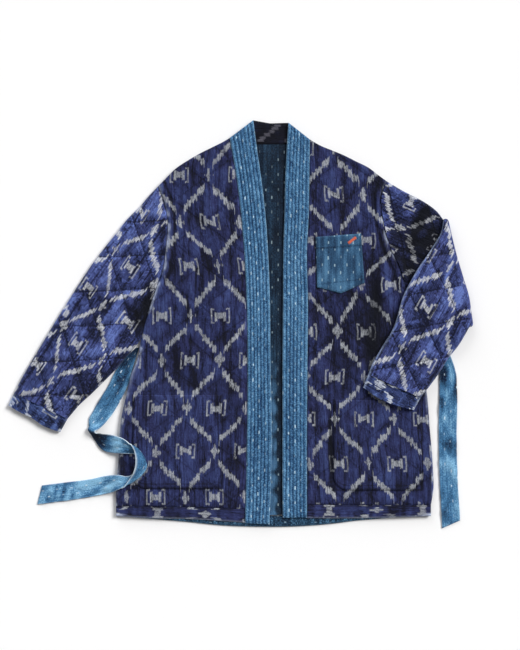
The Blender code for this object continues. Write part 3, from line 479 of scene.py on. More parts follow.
def distance_outside(outline, x, y):
    """Distance from places in the plan to a closed outline, 0 inside it."""
    closed = list(outline) + [outline[0]]
    return np.where(inside(outline, x, y), 0.0, distance_to_line(closed, x, y))


def rectangle(corners):
    """Outline of an upright rectangle given as x from, x to, y from, y to."""
    x0, x1, y0, y1 = corners
    return [(x0, y0), (x1, y0), (x1, y1), (x0, y1)]


def shifted(points, move):
    """A table's rows, moved."""
    return [(x + move[0], y + move[1]) for x, y in points]


def random_table(seed):
    """Random numbers from -1 to 1, for a square of cells that repeats."""
    return np.random.default_rng(seed).uniform(-1.0, 1.0, (NOISE_CELLS, NOISE_CELLS))


def noise(seed, a, b):
    """Smooth noise from -1 to 1 at places given in wavelengths."""
    table = random_table(seed)
    i, j = np.floor(a).astype(int), np.floor(b).astype(int)
    s, t = smooth(a - i), smooth(b - j)
    i, j, next_i, next_j = (cell % NOISE_CELLS for cell in (i, j, i + 1, j + 1))
    low = table[i, j] * (1 - s) + table[next_i, j] * s
    high = table[i, next_j] * (1 - s) + table[next_i, next_j] * s
    return low * (1 - t) + high * t


def facet_shading(seed, across, along):
    """Painted light and shade for each cell of the quilting, as if each cell were tilted its own way, from
    -1 to 1.
    """
    first, second, third = (np.floor(place).astype(int) for place in quilt_places(across, along))
    return random_table(seed)[first % NOISE_CELLS, (second + 40 * third) % NOISE_CELLS]


def lumps(seed, a, b):
    """Soft lumps with narrow valleys between them, from 0 to 1, at places given in wavelengths."""
    return np.clip(1.9 * np.abs(noise(seed, a, b)), 0.0, 1.0) ** 0.7


def crinkles(seed, across, along):
    """The washed cloth's crinkles, long and narrow along the grain, about -1 to 1."""
    bent = across + 7.0 * noise(seed, across / 70, along / 60)
    broad = lumps(seed + 1, bent / 9.0, along / 80)
    narrow = lumps(seed + 2, bent / 5.0, along / 38)
    cross = noise(seed + 3, across / 24, along / 17)
    return 1.1 * broad + 0.6 * narrow + 0.35 * cross - 1.05


def creased(rows, x, y):
    """Height of creases from a table, or strength of painted shade from a shade table, soft across and
    fading out at both ends.
    """
    height = np.zeros(np.shape(x))
    for x0, y0, x1, y1, width, rise in rows:
        run, climb = x1 - x0, y1 - y0
        share = ((x - x0) * run + (y - y0) * climb) / (run * run + climb * climb)
        off = ((x - x0) * climb - (y - y0) * run) / math.hypot(run, climb)
        sway = 0.5 * width * np.sin(4.0 * share + x0)
        height += rise * smooth(2.5 * np.minimum(share, 1.0 - share)) * bell(off - sway, width)
    return height


def toned(rows, along, across):
    """Soft painted shade and highlights, from a table."""
    tone = np.zeros(np.shape(along))
    for place_along, place_across, reach_along, reach_across, change in rows:
        tone += change * bell(along - place_along, reach_along) * bell(across - place_across, reach_across)
    return tone


def puckers(seed, distance, along, wave=7.5, reach=11.0):
    """Small puckers that start at a line of stitches and die out beside it."""
    return noise(seed, along / wave, distance / 40) * np.exp(-distance / reach) * smooth(distance / 2.5)


def faded_and_shaded(relief):
    """How far the dye has faded on what stands proud and kept dark in the valleys: this also paints light
    on the rises and shade in the valleys.
    """
    return np.clip(0.5 + 0.42 * relief, 0.0, 1.0)


def add_object(name, data, place=(0.0, 0.0, 0.0)):
    """A new object in the scene."""
    added = bpy.data.objects.new(name, data)
    added.location = place
    bpy.context.scene.collection.objects.link(added)
    return added


class Cloth:
    """Points, faces, cloth coordinates and wear of one piece, gathered a grid at a time."""

    def __init__(self):
        self.count = 0
        self.points, self.weave = [], []
        self.fade, self.wear, self.quilt = [], [], []
        self.faces, self.finishes = [], []

    def add_points(self, points, weave, fade=0.5, wear=0.0, quilt=(0.0, 0.0, 0.0)):
        """Adds a grid of points and returns their numbers in the same layout."""
        layout = np.shape(points)[:-1]
        size = int(np.prod(layout))
        for kept, values, parts in (
                (self.points, points, [3]), (self.weave, weave, [2]),
                (self.fade, fade, []), (self.wear, wear, []), (self.quilt, quilt, [3])):
            kept.append(np.broadcast_to(values, (*layout, *parts)).reshape(size, *parts))
        numbers = self.count + np.arange(size).reshape(layout)
        self.count += size
        return numbers

    def add_faces(self, faces, finish=0):
        """Faces from lists of point numbers."""
        self.faces += faces
        self.finishes += [finish] * len(faces)

    def add_grid(self, numbers, finish=0):
        """Four-sided faces over a grid of point numbers."""
        corners = stacked(numbers[:-1, :-1], numbers[:-1, 1:], numbers[1:, 1:], numbers[1:, :-1])
        self.add_faces(corners.reshape(-1, 4).tolist(), finish)

    def add_walls(self, rim, foot):
        """Faces between two rows of point numbers that each go once round."""
        self.add_faces(stacked(rim, foot, np.roll(foot, -1), np.roll(rim, -1)).tolist())

    def finish(self, name, materials, angle=50.0):
        """The piece as an object whose faces point out."""
        mesh = bpy.data.meshes.new(name)
        mesh.from_pydata((np.concatenate(self.points) * MM).tolist(), [], self.faces)
        for material in materials:
            mesh.materials.append(material)
        mesh.polygons.foreach_set("material_index", self.finishes)
        shape = bmesh.new()
        shape.from_mesh(mesh)
        bmesh.ops.recalc_face_normals(shape, faces=shape.faces)
        shape.to_mesh(mesh)
        shape.free()
        corners = np.zeros(len(mesh.loops), np.int32)
        mesh.loops.foreach_get("vertex_index", corners)
        layer = mesh.uv_layers.new(name="cloth")
        layer.data.foreach_set("uv", np.concatenate(self.weave)[corners].astype(np.float32).ravel())
        for title, values, kind, entry in (
                ("fade", self.fade, "FLOAT", "value"), ("wear", self.wear, "FLOAT", "value"),
                ("quilt", self.quilt, "FLOAT_VECTOR", "vector")):
            attribute = mesh.attributes.new(title, kind, "POINT")
            attribute.data.foreach_set(entry, np.concatenate(values).astype(np.float32).ravel())
        mesh.shade_smooth()
        mesh.set_sharp_from_angle(angle=math.radians(angle))
        return add_object(name, mesh)


class Plan:
    """A grid of plan points and their distances from its four edges, measured along the grid."""

    def __init__(self, grid):
        self.grid = grid
        self.x, self.y = grid[..., 0], grid[..., 1]
        across = np.linalg.norm(np.diff(grid, axis=1), axis=2).cumsum(axis=1)
        up = np.linalg.norm(np.diff(grid, axis=0), axis=2).cumsum(axis=0)
        self.left = np.pad(across, ((0, 0), (1, 0)))
        self.right = self.left[:, -1:] - self.left
        self.low = np.pad(up, ((1, 0), (0, 0)))
        self.high = self.low[-1:] - self.low
        self.nearest = np.min([self.left, self.right, self.low, self.high], axis=0)

    def at(self, height):
        """The grid's points at a height."""
        return np.dstack([self.grid, height])

    def on_body(self):
        """Cloth coordinates of the body's quilting."""
        return self.x - QUILT_ORIGIN[0], self.y - QUILT_ORIGIN[1]

    def puckers(self, seed):
        """Puckers along all four seams."""
        return (puckers(seed, self.left, self.low) + puckers(seed + 1, self.right, self.low)
                + puckers(seed + 2, self.low, self.left) + puckers(seed + 3, self.high, self.left))


def border(numbers):
    """The rim of a grid of point numbers, once round."""
    return np.concatenate([numbers[0], numbers[1:-1, -1], numbers[-1, ::-1], numbers[-2:0:-1, 0]])


def closed_sheet(node, plan, top, under, weave, fade, wear, finish, quilt=(0.0, 0.0, 0.0)):
    """A closed piece with a shaped top over a flat underside at one height."""
    cloth = Cloth()
    numbers = cloth.add_points(plan.at(top), weave, fade, wear, quilt)
    cloth.add_grid(numbers)
    rim = border(numbers)
    points = cloth.points[0][rim]
    points[:, 2] = under
    foot = cloth.add_points(points, cloth.weave[0][rim])
    cloth.add_walls(rim, foot)
    cloth.add_faces([foot.tolist()])
    return cloth.finish(node + "_cloth", [finish])


def srgb(red, green, blue):
    """A colour as it is shown, from 0 to 255, as the share of light that it reflects."""
    return tuple(((value / 255 + 0.055) / 1.055) ** 2.4 for value in (red, green, blue)) + (1.0,)


# Near black towards which painted shade darkens a cloth
PAINTED_SHADE = srgb(5, 8, 20)


def connect(tree, value, entry):
    """Gives a node's input a number, or another node's result."""
    if isinstance(value, Formula):
        tree.links.new(value.socket, entry)
    else:
        entry.default_value = value


class Formula:
    """A number in a material's nodes, so that its arithmetic reads as arithmetic."""

    def __init__(self, tree, socket):
        self.tree = tree
        self.socket = socket

    def calculate(self, operation, *values, clamp=False):
        node = self.tree.nodes.new("ShaderNodeMath")
        node.operation = operation
        node.use_clamp = clamp
        for value, entry in zip(values, node.inputs):
            connect(self.tree, value, entry)
        return Formula(self.tree, node.outputs[0])

    def __add__(self, other):
        return self.calculate("ADD", self, other)

    def __sub__(self, other):
        return self.calculate("SUBTRACT", self, other)

    def __rsub__(self, other):
        return self.calculate("SUBTRACT", other, self)

    def __mul__(self, other):
        return self.calculate("MULTIPLY", self, other)

    def __truediv__(self, other):
        return self.calculate("DIVIDE", self, other)

    __radd__ = __add__
    __rmul__ = __mul__

    def floor(self):
        return self.calculate("FLOOR", self)

    def size(self):
        """The number without its sign."""
        return self.calculate("ABSOLUTE", self)

    def sine(self):
        return self.calculate("SINE", self)

    def odd(self):
        """1 for an odd whole number and 0 for an even one."""
        return self.calculate("FLOORED_MODULO", self, 2.0)

    def least(self, other):
        return self.calculate("MINIMUM", self, other)

    def most(self, other):
        return self.calculate("MAXIMUM", self, other)

    def times(self, factor):
        """The product, kept between 0 and 1."""
        return self.calculate("MULTIPLY", self, factor, clamp=True)

    def over(self, edge, soft=1.0):
        """1 above an edge and 0 below it, with a soft step between."""
        return self.calculate("ADD", (self - edge) / soft, 0.5, clamp=True)

    def within(self, half, soft=1.0):
        """1 where the number is smaller than a half width either way."""
        return 1.0 - self.size().over(half, soft)


class Dye:
    """The node tree of one cloth's material, with what its patterns are built from."""

    def __init__(self, name, roughness=0.92, sheen=0.05):
        self.material = bpy.data.materials.new(name)
        self.material.use_nodes = True
        self.tree = self.material.node_tree
        self.shader = self.tree.nodes["Principled BSDF"]
        for entry, value in (("Roughness", roughness), ("Specular IOR Level", 0.2), ("Sheen Weight", sheen),
                             ("Sheen Roughness", 0.6), ("Sheen Tint", (0.55, 0.6, 0.9, 1.0))):
            self.shader.inputs[entry].default_value = value
        place = self.node("UVMap")
        place.uv_map = "cloth"
        self.u, self.v = self.axes(place.outputs["UV"], "XY")
        self.fade = Formula(self.tree, self.attribute("fade")["Fac"])
        self.wear = Formula(self.tree, self.attribute("wear")["Fac"])

    def node(self, kind):
        """A new node of a kind."""
        return self.tree.nodes.new("ShaderNode" + kind)

    def attribute(self, name):
        """Outputs of a value kept on the mesh's points."""
        node = self.node("Attribute")
        node.attribute_name = name
        return node.outputs

    def axes(self, vector, names):
        """The numbers of a vector."""
        parts = self.node("SeparateXYZ")
        self.tree.links.new(vector, parts.inputs[0])
        return [Formula(self.tree, parts.outputs[name]) for name in names]

    def texture(self, kind, a, b):
        """A texture in two dimensions, read at a place made of two numbers."""
        node = self.node(kind)
        node.noise_dimensions = "2D"
        place = self.node("CombineXYZ")
        connect(self.tree, a, place.inputs["X"])
        connect(self.tree, b, place.inputs["Y"])
        self.tree.links.new(place.outputs[0], node.inputs["Vector"])
        return node

    def noise(self, a, b, detail=1.0):
        """Smooth noise about 0, from -1 to 1, at a place given in wavelengths."""
        node = self.texture("TexNoise", a, b)
        node.inputs["Scale"].default_value = 1.0
        node.inputs["Detail"].default_value = detail
        return (Formula(self.tree, node.outputs[0]) - 0.5) * 2.6

    def random(self, a, b):
        """A random number from -0.5 to 0.5 for each pair of whole numbers."""
        return Formula(self.tree, self.texture("TexWhiteNoise", a, b).outputs["Value"]) - 0.5

    def mix(self, share, first, second):
        """A colour between two, given as colours or as earlier mixes."""
        node = self.node("Mix")
        node.data_type = "RGBA"
        for value, entry in ((share, 0), (first, 6), (second, 7)):
            connect(self.tree, value, node.inputs[entry])
        return Formula(self.tree, node.outputs[2])

    def shade(self, tone, deep, ground, lit):
        """The cloth's blue: its ground where the tone is 0, deep below and lit above."""
        return self.mix(tone.times(0.9), self.mix(tone.times(-0.9), ground, deep), lit)

    def weave(self):
        """Height of the threads of a plain weave, with uneven yarn."""
        turn = 2 * math.pi / YARN
        plain = (self.u * turn).sine() * (self.v * turn).sine()
        return (plain * 0.08 + self.noise(self.u / 1.1, self.v / 7.0) * 0.12
                + self.noise(self.u / 6.0, self.v / 1.2) * 0.08)

    def quilting(self):
        """How near a line of quilting runs, from 0 to 1, and the puckers that it draws up beside it."""
        across, along, strength = self.axes(self.attribute("quilt")["Vector"], "XYZ")
        sway = self.noise(across / 38.0, along / 46.0) * 1.8
        across, along = across + sway, along + sway * 0.8
        line = puckered = 0.0
        for number, (angle, step) in enumerate(QUILT_FAMILIES):
            place = (across * math.sin(angle) + along * math.cos(angle)) / step
            off = (place - (place + 0.5).floor()) * step
            run = across * math.cos(angle) - along * math.sin(angle)
            lane = place.floor() * 3.0
            shown = self.noise(run / 21.0 + 5.0 * number, lane).over(-0.25, 1.2)
            line = (off.within(0.7, 1.3) * shown).most(line)
            near = (1.0 - off.size() / 13.0).most(0.0)
            drawn = self.noise(run / 3.6 + 7.0 * number, off / 22.0 + lane)
            puckered = drawn * near * near + (off - 3.6).within(1.0, 1.6) * shown * 0.45 + puckered
        return line * strength, puckered * strength

    def paint(self, colour, height, spared=0.0):
        """Sends the colour and a bump to the shader, heights in millimetres; painted shade darkens the
        colour towards near black.

        spared is where less of the painted shade shows.
        """
        colour = self.mix(self.fade.times(-0.9) * (1.0 - spared), colour, PAINTED_SHADE)
        self.tree.links.new(colour.socket, self.shader.inputs["Base Color"])
        bump = self.node("Bump")
        bump.inputs["Strength"].default_value = 1.0
        bump.inputs["Distance"].default_value = MM
        self.tree.links.new(height.socket, bump.inputs["Height"])
        self.tree.links.new(bump.outputs[0], self.shader.inputs["Normal"])
        return self.material


def lattice_mask(dye, reach):
    """Where the resist-dyed lattice leaves the cloth pale: bars, bracketed motifs and small stars.

    reach is half a bar's length across the cloth.
    """
    u = dye.u + dye.noise(dye.u / 80, dye.v / 95) * 2.0
    v = dye.v + dye.noise(dye.u / 75 + 9.0, dye.v / 90) * 2.0
    tug = dye.random(u.floor(), (v / (ROW / 2)).floor())

    # Bars, each in a cell between two columns and two rows
    column, row = (u / COLUMN).floor(), (v / ROW).floor()
    x, y = u - (column + 0.5) * COLUMN, v - (row + 0.5) * ROW
    side = 1.0 - 2.0 * (column + row).odd()
    block = (x / BLOCK).floor()
    lag = dye.random(block + column * 17.0, row) * 5.5
    step = (block + 0.5) * BLOCK * 0.8 + x * 0.2
    slope = 1.05 + dye.random(column + 3.0, row + 5.0) * 0.25
    ragged = dye.random((u / STRAND).floor(), row + 41.0)
    off = y + side * slope * step + lag + tug * 2.4 + ragged * 4.0
    half = 6.0 + dye.random(block + row * 5.0, column) * 2.4 + tug * 1.8
    bars = off.within(half, 2.4).least(x.within(reach, 0.9))

    # Motifs and stars, each in a cell about a crossing
    column, row = (u / COLUMN + 0.5).floor(), (v / ROW + 0.5).floor()
    x, y = u - column * COLUMN, v - row * ROW + tug * 1.8
    away = x.size()
    star_cell = (column + row).odd()
    chance = dye.random(column, row)
    turn = dye.random(column + 31.0, row)
    luck = dye.random(column * 2.0, row + 11.0)
    bracket = (away - BRACKET).within(1.5, 1.0).least(y.within(15.0 + luck * 4.0, 1.6)) * (0.8 + luck * 0.4)
    serif = 13.2 + luck * 4.0
    tick = (away - (BRACKET + serif) / 2.0).within((BRACKET - serif) / 2.0 + 1.0, 1.2)
    tick = tick.least((y.size() - 13.9).within(1.7 + chance, 1.4)) * 0.85
    post = (away - 8.6).within(2.5, 1.4).least((y - chance * 4.0).within(9.6 + turn * 1.5, 1.8))
    lean = (1.0 - 2.0 * (row + (column / 2.0).floor()).odd()) * chance.over(0.2, 0.1)
    tilted = (y + turn * 4.0 + x * lean * 0.4).within(5.6 - lean.size() * 0.9, 1.8)
    waist = away.within(8.0, 1.0).least(tilted) * 0.9
    motif = bracket.most(tick).most(post).most(waist)
    line = x.within(1.8 + turn * 0.8, 1.0).least(y.within(13.0, 2.0))
    rough_edge = dye.random((u / 2.1).floor(), row + 77.0) * 8.0
    core = (away + (y + turn * 7.0).size() * 0.7 + rough_edge).within(7.6 + chance * 3.0, 1.8)
    slit = (away - y.size() + 1.5).within(0.7, 1.0).least((away - 0.5).over(1.5, 0.8))
    star = line.most(core * (1.0 - slit * 0.8))
    return bars.most(motif * (1.0 - star_cell) + star * star_cell)


def kasuri(name, *colours, rough, reach=21.4):
    """Indigo cloth with a pale woven lattice, streaked along the grain and wrinkled by washing.

    The colours are deep, ground, lit, pale and worn. rough is how wrinkled the cloth is.
    """
    deep, ground, lit, pale, worn = (srgb(*colour) for colour in colours)
    dye = Dye(name)
    u, v = dye.u, dye.v
    mask = lattice_mask(dye, reach)
    line, drawn = dye.quilting()
    streak = dye.noise(u / 4.0, v / 95, 2.0)
    slub = dye.noise(u / 1.9, v / 6.5, 2.0)
    cloud = dye.noise(u / 60, v / 85, 2.0)
    strand = dye.random((u / STRAND).floor(), (v / (ROW / 2)).floor())
    # crease paints thin dark lines of shade along the grain, and dents the bump
    crease = dye.noise(u / 7.0 + 13.0, v / 90).within(0.05, 0.09)
    hatch = dye.noise(u / 2.6 + 3.0, v / 15.0) * rough
    cross = dye.noise(u / 12.0 + 3.0, v / 3.3) * rough
    # Narrow creases: pinch paints their shade dark, and the flank beside them gets a painted highlight
    rumple = dye.noise(u / 15.0 + 7.0, v / 24.0, 1.5)
    pinch = rumple.within(0.03, 0.08) * rough
    lit_flank = (rumple - 0.16).within(0.05, 0.09) * rough
    # Tone: uneven dye and the fading with its painted shade, painted highlights on the quilting's puckers,
    # painted shade in its lines and creases
    tone = streak * 0.28 + slub * 0.38 + cloud * 0.4 + (dye.fade.most(0.0) - 0.5) * 1.9 + strand * 0.2
    tone = tone + hatch * 0.5 + cross * 0.5 + drawn * 0.8 - crease * 0.8 - line * 1.05
    tone = tone + lit_flank * 1.1 - pinch * 1.7
    plum = tuple(part * factor for part, factor in zip(ground, PLUM))
    hue = dye.noise(u / 34.0 + 5.0, v / 70.0).over(0.1, 1.2)
    blue = dye.shade(tone, deep, dye.mix(hue, ground, plum), lit)
    fleck = dye.noise(u / 1.3 + 5.0, v / 3.4)
    share = mask * (0.74 + strand * 0.42 + slub * 0.26 + fleck * 0.34 + cloud * 0.1)
    # Painted shade also darkens the pale marks in creases and quilting lines
    share = (share - (crease + line + pinch) * mask * 0.4).times(1.0)
    colour = dye.mix(dye.wear.times(1.0 + slub * 0.5), dye.mix(share, blue, pale), worn)
    height = dye.weave() + streak * 0.4 + slub * 0.2 + hatch * 0.5 + cross * 0.45
    height = height + drawn * 1.1 - crease * 0.6 - line * 1.0 - pinch * 0.8
    return dye.paint(colour, height, share * 0.4)


def dotted(name, *colours, strength, tucked):
    """Plain blue cloth with small pale dashes in staggered columns, tucked by close stitching.

    The colours are deep, ground, lit, dash and worn. strength is how clear the dashes are.
    """
    deep, ground, lit, dash, worn = (srgb(*colour) for colour in colours)
    dye = Dye(name)
    u, v = dye.u, dye.v
    column = (u / DASH_COLUMN + 0.5).floor()
    x = u - column * DASH_COLUMN
    raised = v + column.odd() * (DASH_ROW / 2)
    row = (raised / DASH_ROW + 0.5).floor()
    luck = dye.random(column, row)
    other = dye.random(column + 7.0, row + 3.0)
    y = raised - row * DASH_ROW + luck * 3.0
    mark = (x + other * 1.4).within(0.95 + luck * 0.5, 0.7).least(y.within(2.4 + other * 1.4, 1.4))
    streak = dye.noise(u / 2.6, v / 70, 2.0)
    slub = dye.noise(u / 1.5, v / 4.0, 2.0)
    cloud = dye.noise(u / 55, v / 70, 2.0)
    # tuck raises small tucks in the bump and paints their light and shade into the tone
    tuck = dye.noise(u / 4.0, v / 1.6) * tucked
    tone = streak * 0.4 + slub * 0.6 + cloud * 0.3 + (dye.fade.most(0.0) - 0.5) * 2.0 + tuck
    blue = dye.shade(tone, deep, ground, lit)
    colour = dye.mix(dye.wear * 0.8, dye.mix(mark.times(strength + luck * 1.3), blue, dash), worn)
    return dye.paint(colour, dye.weave() + streak * 0.2 + tuck * 0.5)


def thread(name, red, green, blue):
    """Sewing thread, twisted."""
    dye = Dye(name, roughness=0.7, sheen=0.0)
    twist = ((dye.u + dye.v) * 9.0).sine()
    colour = srgb(red, green, blue)
    shadow = tuple(0.6 * part for part in colour[:3]) + (1.0,)
    return dye.paint(dye.mix(twist * 0.3 + 0.5, shadow, colour), twist * 0.1)


KASURI = kasuri("kasuri_body", (13, 14, 33), (40, 47, 90), (62, 75, 126), (163, 167, 174), (206, 218, 246),
                rough=0.25)
# The sleeves' cloth: the body's kasuri painted lighter and bluer throughout, pale marks too, as painted
# light and sheen
KASURI_SLEEVE_LIT = kasuri("kasuri_sleeve_lit", (18, 22, 48), (62, 74, 130), (102, 122, 190), (202, 205, 212),
                       (178, 198, 238), rough=0.5, reach=22.8)
KASURI_CUFF = kasuri("kasuri_cuff", (16, 22, 48), (56, 73, 125), (98, 122, 182), (200, 207, 220),
                     (184, 202, 234), rough=0.6, reach=22.8)
# The collar's inside at the neck: the body's kasuri painted near black, pale marks too, as painted shade of
# the neck's recess
KASURI_INSIDE_SHADED = kasuri("kasuri_inside_shaded", (4, 4, 9), (10, 12, 27), (22, 26, 50), (88, 87, 98), (40, 42, 60),
                       rough=0.2, reach=17.6)
COLLAR = dotted("collar_cloth", (20, 54, 94), (66, 114, 156), (118, 166, 204), (176, 205, 225),
                (140, 184, 216), strength=0.8, tucked=1.15)
HEM_LINING = dotted("hem_lining", (10, 28, 48), (40, 74, 104), (100, 150, 188), (150, 180, 200),
                    (90, 130, 160), strength=0.0, tucked=1.3)
POCKET = dotted("pocket_cloth", (20, 42, 68), (46, 82, 116), (78, 122, 158), (146, 174, 190),
                (110, 150, 175), strength=0.8, tucked=0.35)
LINING = dotted("lining_cloth", (12, 26, 42), (44, 74, 102), (74, 114, 150), (132, 152, 162),
                (70, 95, 120), strength=0.55, tucked=0.3)
TIE_CLOTH = dotted("tie_cloth", (10, 26, 54), (66, 118, 162), (146, 198, 232), (190, 212, 228),
                   (226, 240, 250), strength=0.45, tucked=0.4)
NAVY_THREAD = thread("navy_thread", 20, 24, 48)
BLUE_THREAD = thread("blue_thread", 36, 66, 104)
CORAL_THREAD = thread("coral_thread", 255, 132, 100)


def weave_front(first_x, rows):
    """Cloth coordinates of a front, from its table."""
    y_from, shift, row = np.array(rows, float).T

    def weave(x, y):
        return stacked(x - first_x - np.interp(y, y_from, shift), ROW * np.interp(y, y_from, row))
    return weave


WEAVES = {"right": weave_front(WEAVE_RIGHT_X, WEAVE_RIGHT), "left": weave_front(WEAVE_LEFT_X, WEAVE_LEFT)}


def along_grain(x, y, start, grain):
    """Distances across and along a direction of the cloth, from a place."""
    dx, dy = x - start[0], y - start[1]
    return -dx * grain[1] + dy * grain[0], dx * grain[0] + dy * grain[1]


def weave_sleeve_right(x, y):
    """Cloth coordinates of the right sleeve."""
    across, along = along_grain(x, y, WEAVE_SLEEVE_START, SLEEVE_RIGHT_GRAIN)
    place, column, lag = np.array(WEAVE_SLEEVE, float).T
    return stacked(np.interp(across, place, column),
                   WEAVE_SLEEVE_FIRST + np.interp(across, place, lag) - along)


def weave_upper_arm(x, y):
    """Cloth coordinates of the left sleeve above its fold."""
    across, along = along_grain(x, y, WEAVE_UPPER_STAR, UPPER_ARM_GRAIN)
    return stacked(COLUMN + across, along * WEAVE_UPPER_STRETCH)


def weave_forearm(x, y):
    """Cloth coordinates of the left sleeve past its fold."""
    across, along = along_grain(x, y, WEAVE_FOREARM_MOTIF, FOREARM_WARP)
    return stacked(across * WEAVE_FOREARM_STRETCH[0], -along * WEAVE_FOREARM_STRETCH[1])


def turned(weave, shift=0.0):
    """The same cloth, turned a quarter and shifted across."""
    return lambda x, y: weave(x - shift, y)[..., ::-1]


def front(node, sides, pockets, tables, seed):
    """A front: quilted and crinkled, even where a pocket is sewn on, and worn along one edge.

    tables are its creases, its painted shade and light, the worn edge, and how worn that edge is with the
    painted light on its seam.
    """
    creases, shade_marks, worn_edge, worn = tables
    plan = Plan(patch(*sides, spaced(length(sides[0])), spaced(length(sides[2]))))
    x, y = plan.x, plan.y
    to_line, field = quilt_fields(*plan.on_body())
    crinkle = crinkles(seed, x, y)
    drawn = puckers(seed + 5, to_line, x + y, 4.5, 9.0)
    folds = creased(creases, x, y)
    cells = facet_shading(seed + 11, *plan.on_body())
    relief = (BODY_PUFF * field + CRINKLE * crinkle * (0.35 + 0.65 * field)
              + PUCKER * (drawn + plan.puckers(seed + 6)) + folds)
    # Dye faded on what stands proud, with painted light and shade from crinkles, folds, fields, puckers and
    # quilted cells, then painted shade and light from the table
    fade = faded_and_shaded(0.85 * crinkle + 0.4 * folds + 0.6 * (field - 0.9) + 0.4 * drawn + 0.28 * cells)
    fade -= creased(shade_marks, x, y)

    # The worn edge: full beside its seam, with the fold that the armhole pulls in
    seam = distance_to_line(worn_edge, x, y)
    heights, *columns = np.array(worn, float).T
    wears, reaches, lights = (np.interp(y, heights, column) for column in columns)
    patchy = np.clip(0.5 + 1.4 * noise(seed + 9, y / 13, x / 9), 0.0, 1.0)
    tucked = FOLD_DEPTH * smooth((y - 60.0) / 40.0) * bell(seam - 15.0, 3.0)
    relief += 2.4 * bell(seam - 7.0, 6.0) - tucked
    # Painted light on the rolled seam beside the edge, painted shadow in the fold
    fade += lights * bell(seam, 9.0) - 0.6 * tucked

    for outline in pockets:
        # Painted shadow along a pocket's sides and lower edge
        fade -= 0.5 * bell(distance_to_line([outline[3], *outline[:3]], x, y) - 0.5, 1.6)
        covered = smooth(1.0 - (distance_outside(outline, x, y) - POCKET_MARGIN) / 8.0)
        relief = relief * (1.0 - covered) + np.minimum(0.4 * relief + 0.2, POCKET_REST) * covered
    top = FRONT_UNDER + WALL / 2 + (WALL / 2 + np.maximum(relief, -1.5)) * edge_rise(plan.nearest)
    return closed_sheet(node, plan, top, FRONT_UNDER, WEAVES[node.removeprefix("front_")](x, y), fade,
                        patchy * wears * bell(seam, reaches), KASURI, quilted(*plan.on_body(), 0.4))


def four_sides(low, high, left=(), right=()):
    """The four sides of a plan, with the ends of the long sides set on the two others."""
    return low, high, [low[0], *left, high[0]], [low[-1], *right, high[-1]]


def strip(node, edge, seam, under, weave, seed, finish, puff=0.5, wave=6.5):
    """A hem: a narrow padded strip with puckers from both seams."""
    plan = Plan(patch(*four_sides(edge, seam), spaced(length(edge)), np.linspace(0.0, 1.0, 14)))
    x, y = plan.x, plan.y
    wrinkle = noise(seed, x / wave, y / 30) + 0.5 * noise(seed + 1, x / wave / 2, y / 22)
    relief = puff * wrinkle + 0.4 * plan.puckers(seed + 2)
    top = under + WALL / 2 + (WALL / 2 + np.minimum(relief, 1.2)) * edge_rise(plan.nearest * 1.5)
    # Worn dye along the lower edge, and a painted highlight on each bulging corner, kept as wear
    corner = np.min([np.abs(x - end) for end in HEM_HIGHLIGHT_CORNERS], axis=0)
    wear = np.maximum(0.35 * bell(plan.low, EDGE_WEAR), bell(corner, 12.0) * bell(plan.low - 3.0, 2.5))
    # Painted shade along the seam
    fade = faded_and_shaded(0.7 * wrinkle - 0.25) - 0.4 * bell(plan.high - 1.5, 1.5)
    return closed_sheet(node, plan, top, under, weave(x, y), fade, wear, finish)


def back():
    """The back: its lining shows at the neck, its outer cloth lies on the surface."""
    low = sampled(shifted(BACK_HEM_SEAM, (0.0, SEAM)))
    high = np.concatenate([sampled(SHOULDER_RIGHT), [(-20, NECK_SEAM), (137.5, NECK_SEAM)],
                           sampled(SHOULDER_LEFT)])
    across = np.union1d(np.linspace(0.0, 1.0, 96), np.linspace(0.46, 0.56, 36))
    plan = Plan(patch(low, high, sampled(BODY_EDGE_RIGHT), sampled(BODY_EDGE_LEFT), across,
                      np.linspace(0.0, 1.0, 150), straight=True))
    x, y = plan.x, plan.y
    shown = np.where(inside(OPENING, x, y), distance_to_line(OPENING, x, y), 0.0)
    _, field = quilt_fields(*plan.on_body(), 6.0)
    crinkle = crinkles(70, x, y)
    upper = 1.6 * field * smooth(shown / 8.0) + 0.5 * crinkle * smooth(shown / 6.0) - 0.3 * (1.0 - field)
    under = np.minimum(0.9 * (1.0 - field) + 0.35 * np.maximum(crinkle, 0.0), 1.2)
    # Painted light and shade on the lining at the neck: lit scallops over the quilting on its left side,
    # painted shadow of the left band on its right, darker upward where the neck is shaded
    lower = smooth((-20.0 - y) / 160.0)
    scallop = np.abs(np.sin(y * math.pi / 37.0)) - 0.6
    side = smooth((75.0 + 5.0 * scallop - x) / 8.0)
    fade = 0.36 + 0.25 * crinkle - 0.35 * smooth((y + 260.0) / 330.0) - 0.3 * smooth((x - 60.0) / 26.0)
    lit = side * (0.5 + 0.6 * scallop + 0.25 * noise(75, x / 5, y / 9))
    fade += lower * (lit - 0.35 * (1.0 - side))
    cloth = Cloth()
    top = cloth.add_points(plan.at(WALL + upper), plan.grid, fade)
    foot = plan.at(under * smooth(plan.nearest / 8))
    foot = cloth.add_points(foot, WEAVES["right"](x, y), faded_and_shaded(crinkle))
    cloth.add_grid(top, 1)
    cloth.add_grid(foot)
    cloth.add_walls(border(top), border(foot))
    return cloth.finish("back_cloth", [KASURI, LINING])


